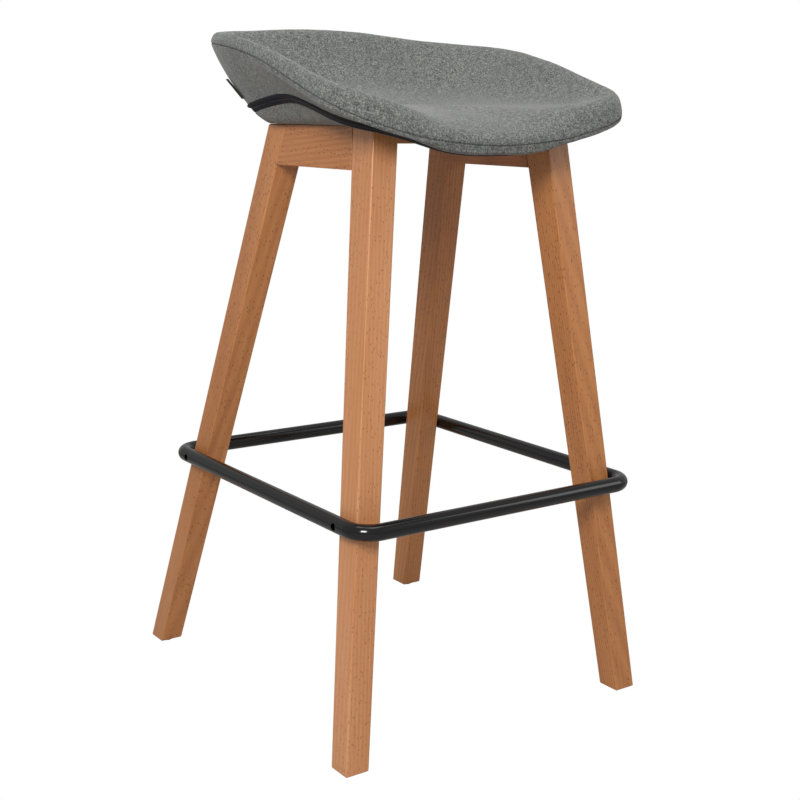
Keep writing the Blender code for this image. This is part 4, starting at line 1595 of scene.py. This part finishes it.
    def fixings(self, frame: WoodenFrame, finish: Material) -> None:
        """Makes the four bolts and washers under the cross rails.

        Args:
            frame: the wooden frame that they pass through; not used.
            finish: the plated steel.
        """
        for end in End:
            for side in Side:
                washer_name = corner_name("washer", end, side)
                low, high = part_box(washer_name)
                x, y = (low.x + high.x) / 2, (low.y + high.y) / 2
                reach = (high.x - low.x) / 2
                rings = [Ring(0.0033, high.z), Ring(reach - 0.0003, high.z),
                         Ring(reach, high.z - 0.0003), Ring(reach, low.z + 0.0003),
                         Ring(reach - 0.0003, low.z), Ring(0.0033, low.z)]
                place = Matrix.Translation((x, y, 0))
                washer = turned(washer_name.replace("washer", "flat_washer"), finish, rings, place,
                                hollow=True)
                keep(washer, "zinc_steel", washer_name)
                self.bolt(end, side, finish)

    def bolt(self, end: End, side: Side, finish: Material) -> None:
        """Makes one button-head bolt with a hexagon socket, head down.

        Args:
            end: the end of the stool that it is at.
            side: the sitter's side that it is on.
            finish: its material.
        """
        name = corner_name("seat_bolt", end, side)
        low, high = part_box(name)
        x, y, reach = (low.x + high.x) / 2, (low.y + high.y) / 2, (high.x - low.x) / 2
        seat = low.z + 0.003
        rings = [Ring(0.0024, high.z), Ring(0.0030, high.z - 0.0006), Ring(0.0030, seat),
                 Ring(reach, seat), Ring(reach, seat - 0.0008), Ring(reach * 0.93, low.z + 0.0011),
                 Ring(reach * 0.78, low.z + 0.0004), Ring(reach * 0.56, low.z),
                 Ring(0.0019, low.z, True), Ring(0.0018, low.z + 0.0002, True),
                 Ring(0.0018, low.z + 0.0018, True), Ring(0.0003, low.z + 0.0020)]
        made = turned(name.replace("seat", "button_head"), finish, rings,
                      Matrix.Translation((x, y, 0)))
        keep(made, "zinc_steel", name)

    def build(self, frame: WoodenFrame) -> None:
        """Makes every piece of the seat.

        Args:
            frame: the wooden frame that it is bolted to.
        """
        felt = MelangeFelt().material()
        weave = WovenPolyester("woven_zip_tape").material()
        zinc = ZINC_PLATE.material()
        foam = keep(self.foam(CUT_FOAM.material()), "foam", "foam_pad")
        top = keep(self.top_panel(felt), "grey_felt", "top_cover")
        band = keep(self.side_panel(felt), "grey_felt", "side_cover")
        under = keep(self.under_panel(felt), "grey_felt", "bottom_cover")
        thread = keep(self.thread(SEWING_THREAD.material()), "grey_felt")
        tape = keep(self.zip_tape(weave), "navy_tape", "zip_tape")
        coil = keep(self.zip_coil(ZIP_COIL.material()), "navy_tape")
        keep(self.piping(WovenPolyester("piping_braid", "#0E0F15", "#1C1E29", 0.9).material()),
             "navy_tape", "piping")
        tab = WovenPolyester("label_weave", "#0A0A0B", "#17171A", 0.7).material()
        label = keep(self.label(tab), "navy_tape", "blank_label")
        keep(self.slider(zinc), "zinc_steel", "zip_slider")
        keep(self.pull(zinc), "zinc_steel", "zip_pull")
        self.fixings(frame, zinc)


# ---- what stays from the frame ------------------------------------------------------


def dress_hidden_nodes(nodes: dict[str, Piece]) -> None:
    """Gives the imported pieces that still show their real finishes.

    Args:
        nodes: the frame's nodes by name.
    """
    zinc = ZINC_PLATE.material()
    shell = MOULDED_SHELL.material()
    dowel_along = LacqueredBeech().material("dowels_along", Vector((0, 1, 0)), 2.1)
    dowel_across = LacqueredBeech().material("dowels_across", Vector((1, 0, 0)), 2.7)
    finishes = (("dowel_", dowel_along), ("cross_dowel_", dowel_across), ("tee_nut_", zinc),
                ("seat_shell", shell))
    for name, node in nodes.items():
        for stem, finish in finishes:
            if name.startswith(stem) and not node.hide_render:
                node.data.materials.clear()
                node.data.materials.append(finish)
                LOG.info("%s: kept, in %s", name, finish.name)


# ---- studio -------------------------------------------------------------------------


@dataclass
class Studio:
    """A pale floor, soft lights, and a camera at eye level with the seat."""

    frame: WoodenFrame
    floor: str = "#B4B2AF"
    camera_bearing: float = math.radians(-35.95)
    camera_distance: float = 1.6737
    camera_height: float = 0.7402
    camera_yaw: float = 0.0085
    camera_pitch: float = 0.21105
    camera_roll: float = 0.0137
    lens: float = 59.91
    shift: tuple[float, float] = (-0.0013, -0.0012)

    def camera(self) -> None:
        """Stands the camera in front and to the sitter's right, level with the seat."""
        data = bpy.data.cameras.new("camera")
        data.lens = self.lens
        data.sensor_width = 36.0
        data.shift_x, data.shift_y = self.shift
        data.clip_start, data.clip_end = 0.05, 50.0
        made = bpy.data.objects.new("camera", data)
        bpy.context.scene.collection.objects.link(made)
        bpy.context.scene.camera = made
        turn = self.camera_bearing
        spot = Vector((math.sin(turn) * self.camera_distance,
                       self.frame.centre_y - math.cos(turn) * self.camera_distance,
                       self.camera_height))
        look, pitch = turn + self.camera_yaw, self.camera_pitch
        ahead = Vector((-math.sin(look) * math.cos(pitch), math.cos(look) * math.cos(pitch),
                        -math.sin(pitch)))
        right = ahead.cross(Vector((0, 0, 1))).normalized()
        up = right.cross(ahead)
        cos, sin = math.cos(self.camera_roll), math.sin(self.camera_roll)
        axes = Matrix((right * cos + up * sin, up * cos - right * sin, -ahead)).transposed()
        made.matrix_world = Matrix.Translation(spot) @ axes.to_4x4()

    def ground(self) -> None:
        """Lays a wide plain floor."""
        bm = bmesh.new()
        bmesh.ops.create_grid(bm, x_segments=1, y_segments=1, size=9.0)
        made, tree, shader = start_material("painted_floor", {"Base Color": linear(self.floor),
                                                              "Roughness": 0.9,
                                                              "Specular IOR Level": 0.1})
        seen = add(tree, "LightPath").outputs["Is Camera Ray"]
        blown = add(tree, "Emission", {"Color": (1.0, 1.0, 1.0, 1.0), "Strength": 1.0})
        shown = add(tree, "MixShader", {0: seen, 1: shader.outputs[0], 2: blown.outputs[0]})
        tree.links.new(shown.outputs[0], tree.nodes["Material Output"].inputs["Surface"])
        piece_from(bm, "floor", made)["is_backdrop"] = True

    def softbox(self, name: str, spot: Vector, size: tuple[float, float], power: float) -> None:
        """Hangs one rectangular light that faces the seat.

        Args:
            name: the light's name.
            spot: where it hangs.
            size: its width and height in metres.
            power: its power in watts.
        """
        data = bpy.data.lights.new(name, "AREA")
        data.shape = "RECTANGLE"
        data.size, data.size_y = size
        data.energy = power
        made = bpy.data.objects.new(name, data)
        bpy.context.scene.collection.objects.link(made)
        aim = Vector((0, self.frame.centre_y, 0.5)) - spot
        made.rotation_mode = "QUATERNION"
        made.rotation_quaternion = aim.to_track_quat("-Z", "Y")
        made.location = spot

    def build(self) -> None:
        """Sets up floor, sky, lights and camera."""
        self.ground()
        world = bpy.data.worlds.new("studio")
        world.use_nodes = True
        sky = world.node_tree.nodes["Background"]
        sky.inputs["Color"].default_value = (1.0, 1.0, 1.0, 1.0)
        seen = add(world.node_tree, "LightPath").outputs["Is Camera Ray"]
        glow = add(world.node_tree, "MapRange", {"Value": seen, "To Min": 0.46, "To Max": 1.0})
        world.node_tree.links.new(glow.outputs[0], sky.inputs["Strength"])
        bpy.context.scene.world = world
        self.softbox("key", Vector((-1.85, -1.6, 1.75)), (0.8, 0.8), 52.0)
        self.softbox("fill", Vector((2.2, -1.8, 1.6)), (1.2, 1.2), 9.0)
        self.softbox("top", Vector((0.1, 0.0, 2.1)), (1.4, 1.4), 12.0)
        bpy.context.scene.view_settings.view_transform = "Standard"
        self.camera()


# ---- assembly -----------------------------------------------------------------------


def corners() -> list[list[float]]:
    """Returns the shown object's lowest and highest corner as plain lists."""
    return [list(corner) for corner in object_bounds()]


def main() -> None:
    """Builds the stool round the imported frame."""
    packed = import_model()
    frame = WoodenFrame()
    frame.build()
    FootrestRing(frame).build()
    Upholstery(SeatForm(frame.centre_y, frame.top)).build(frame)
    dress_hidden_nodes(packed["nodes"])
    Studio(frame).build()


if __name__ == "__main__":
    logging.basicConfig(level=logging.INFO, format="%(name)s %(message)s")
    main()
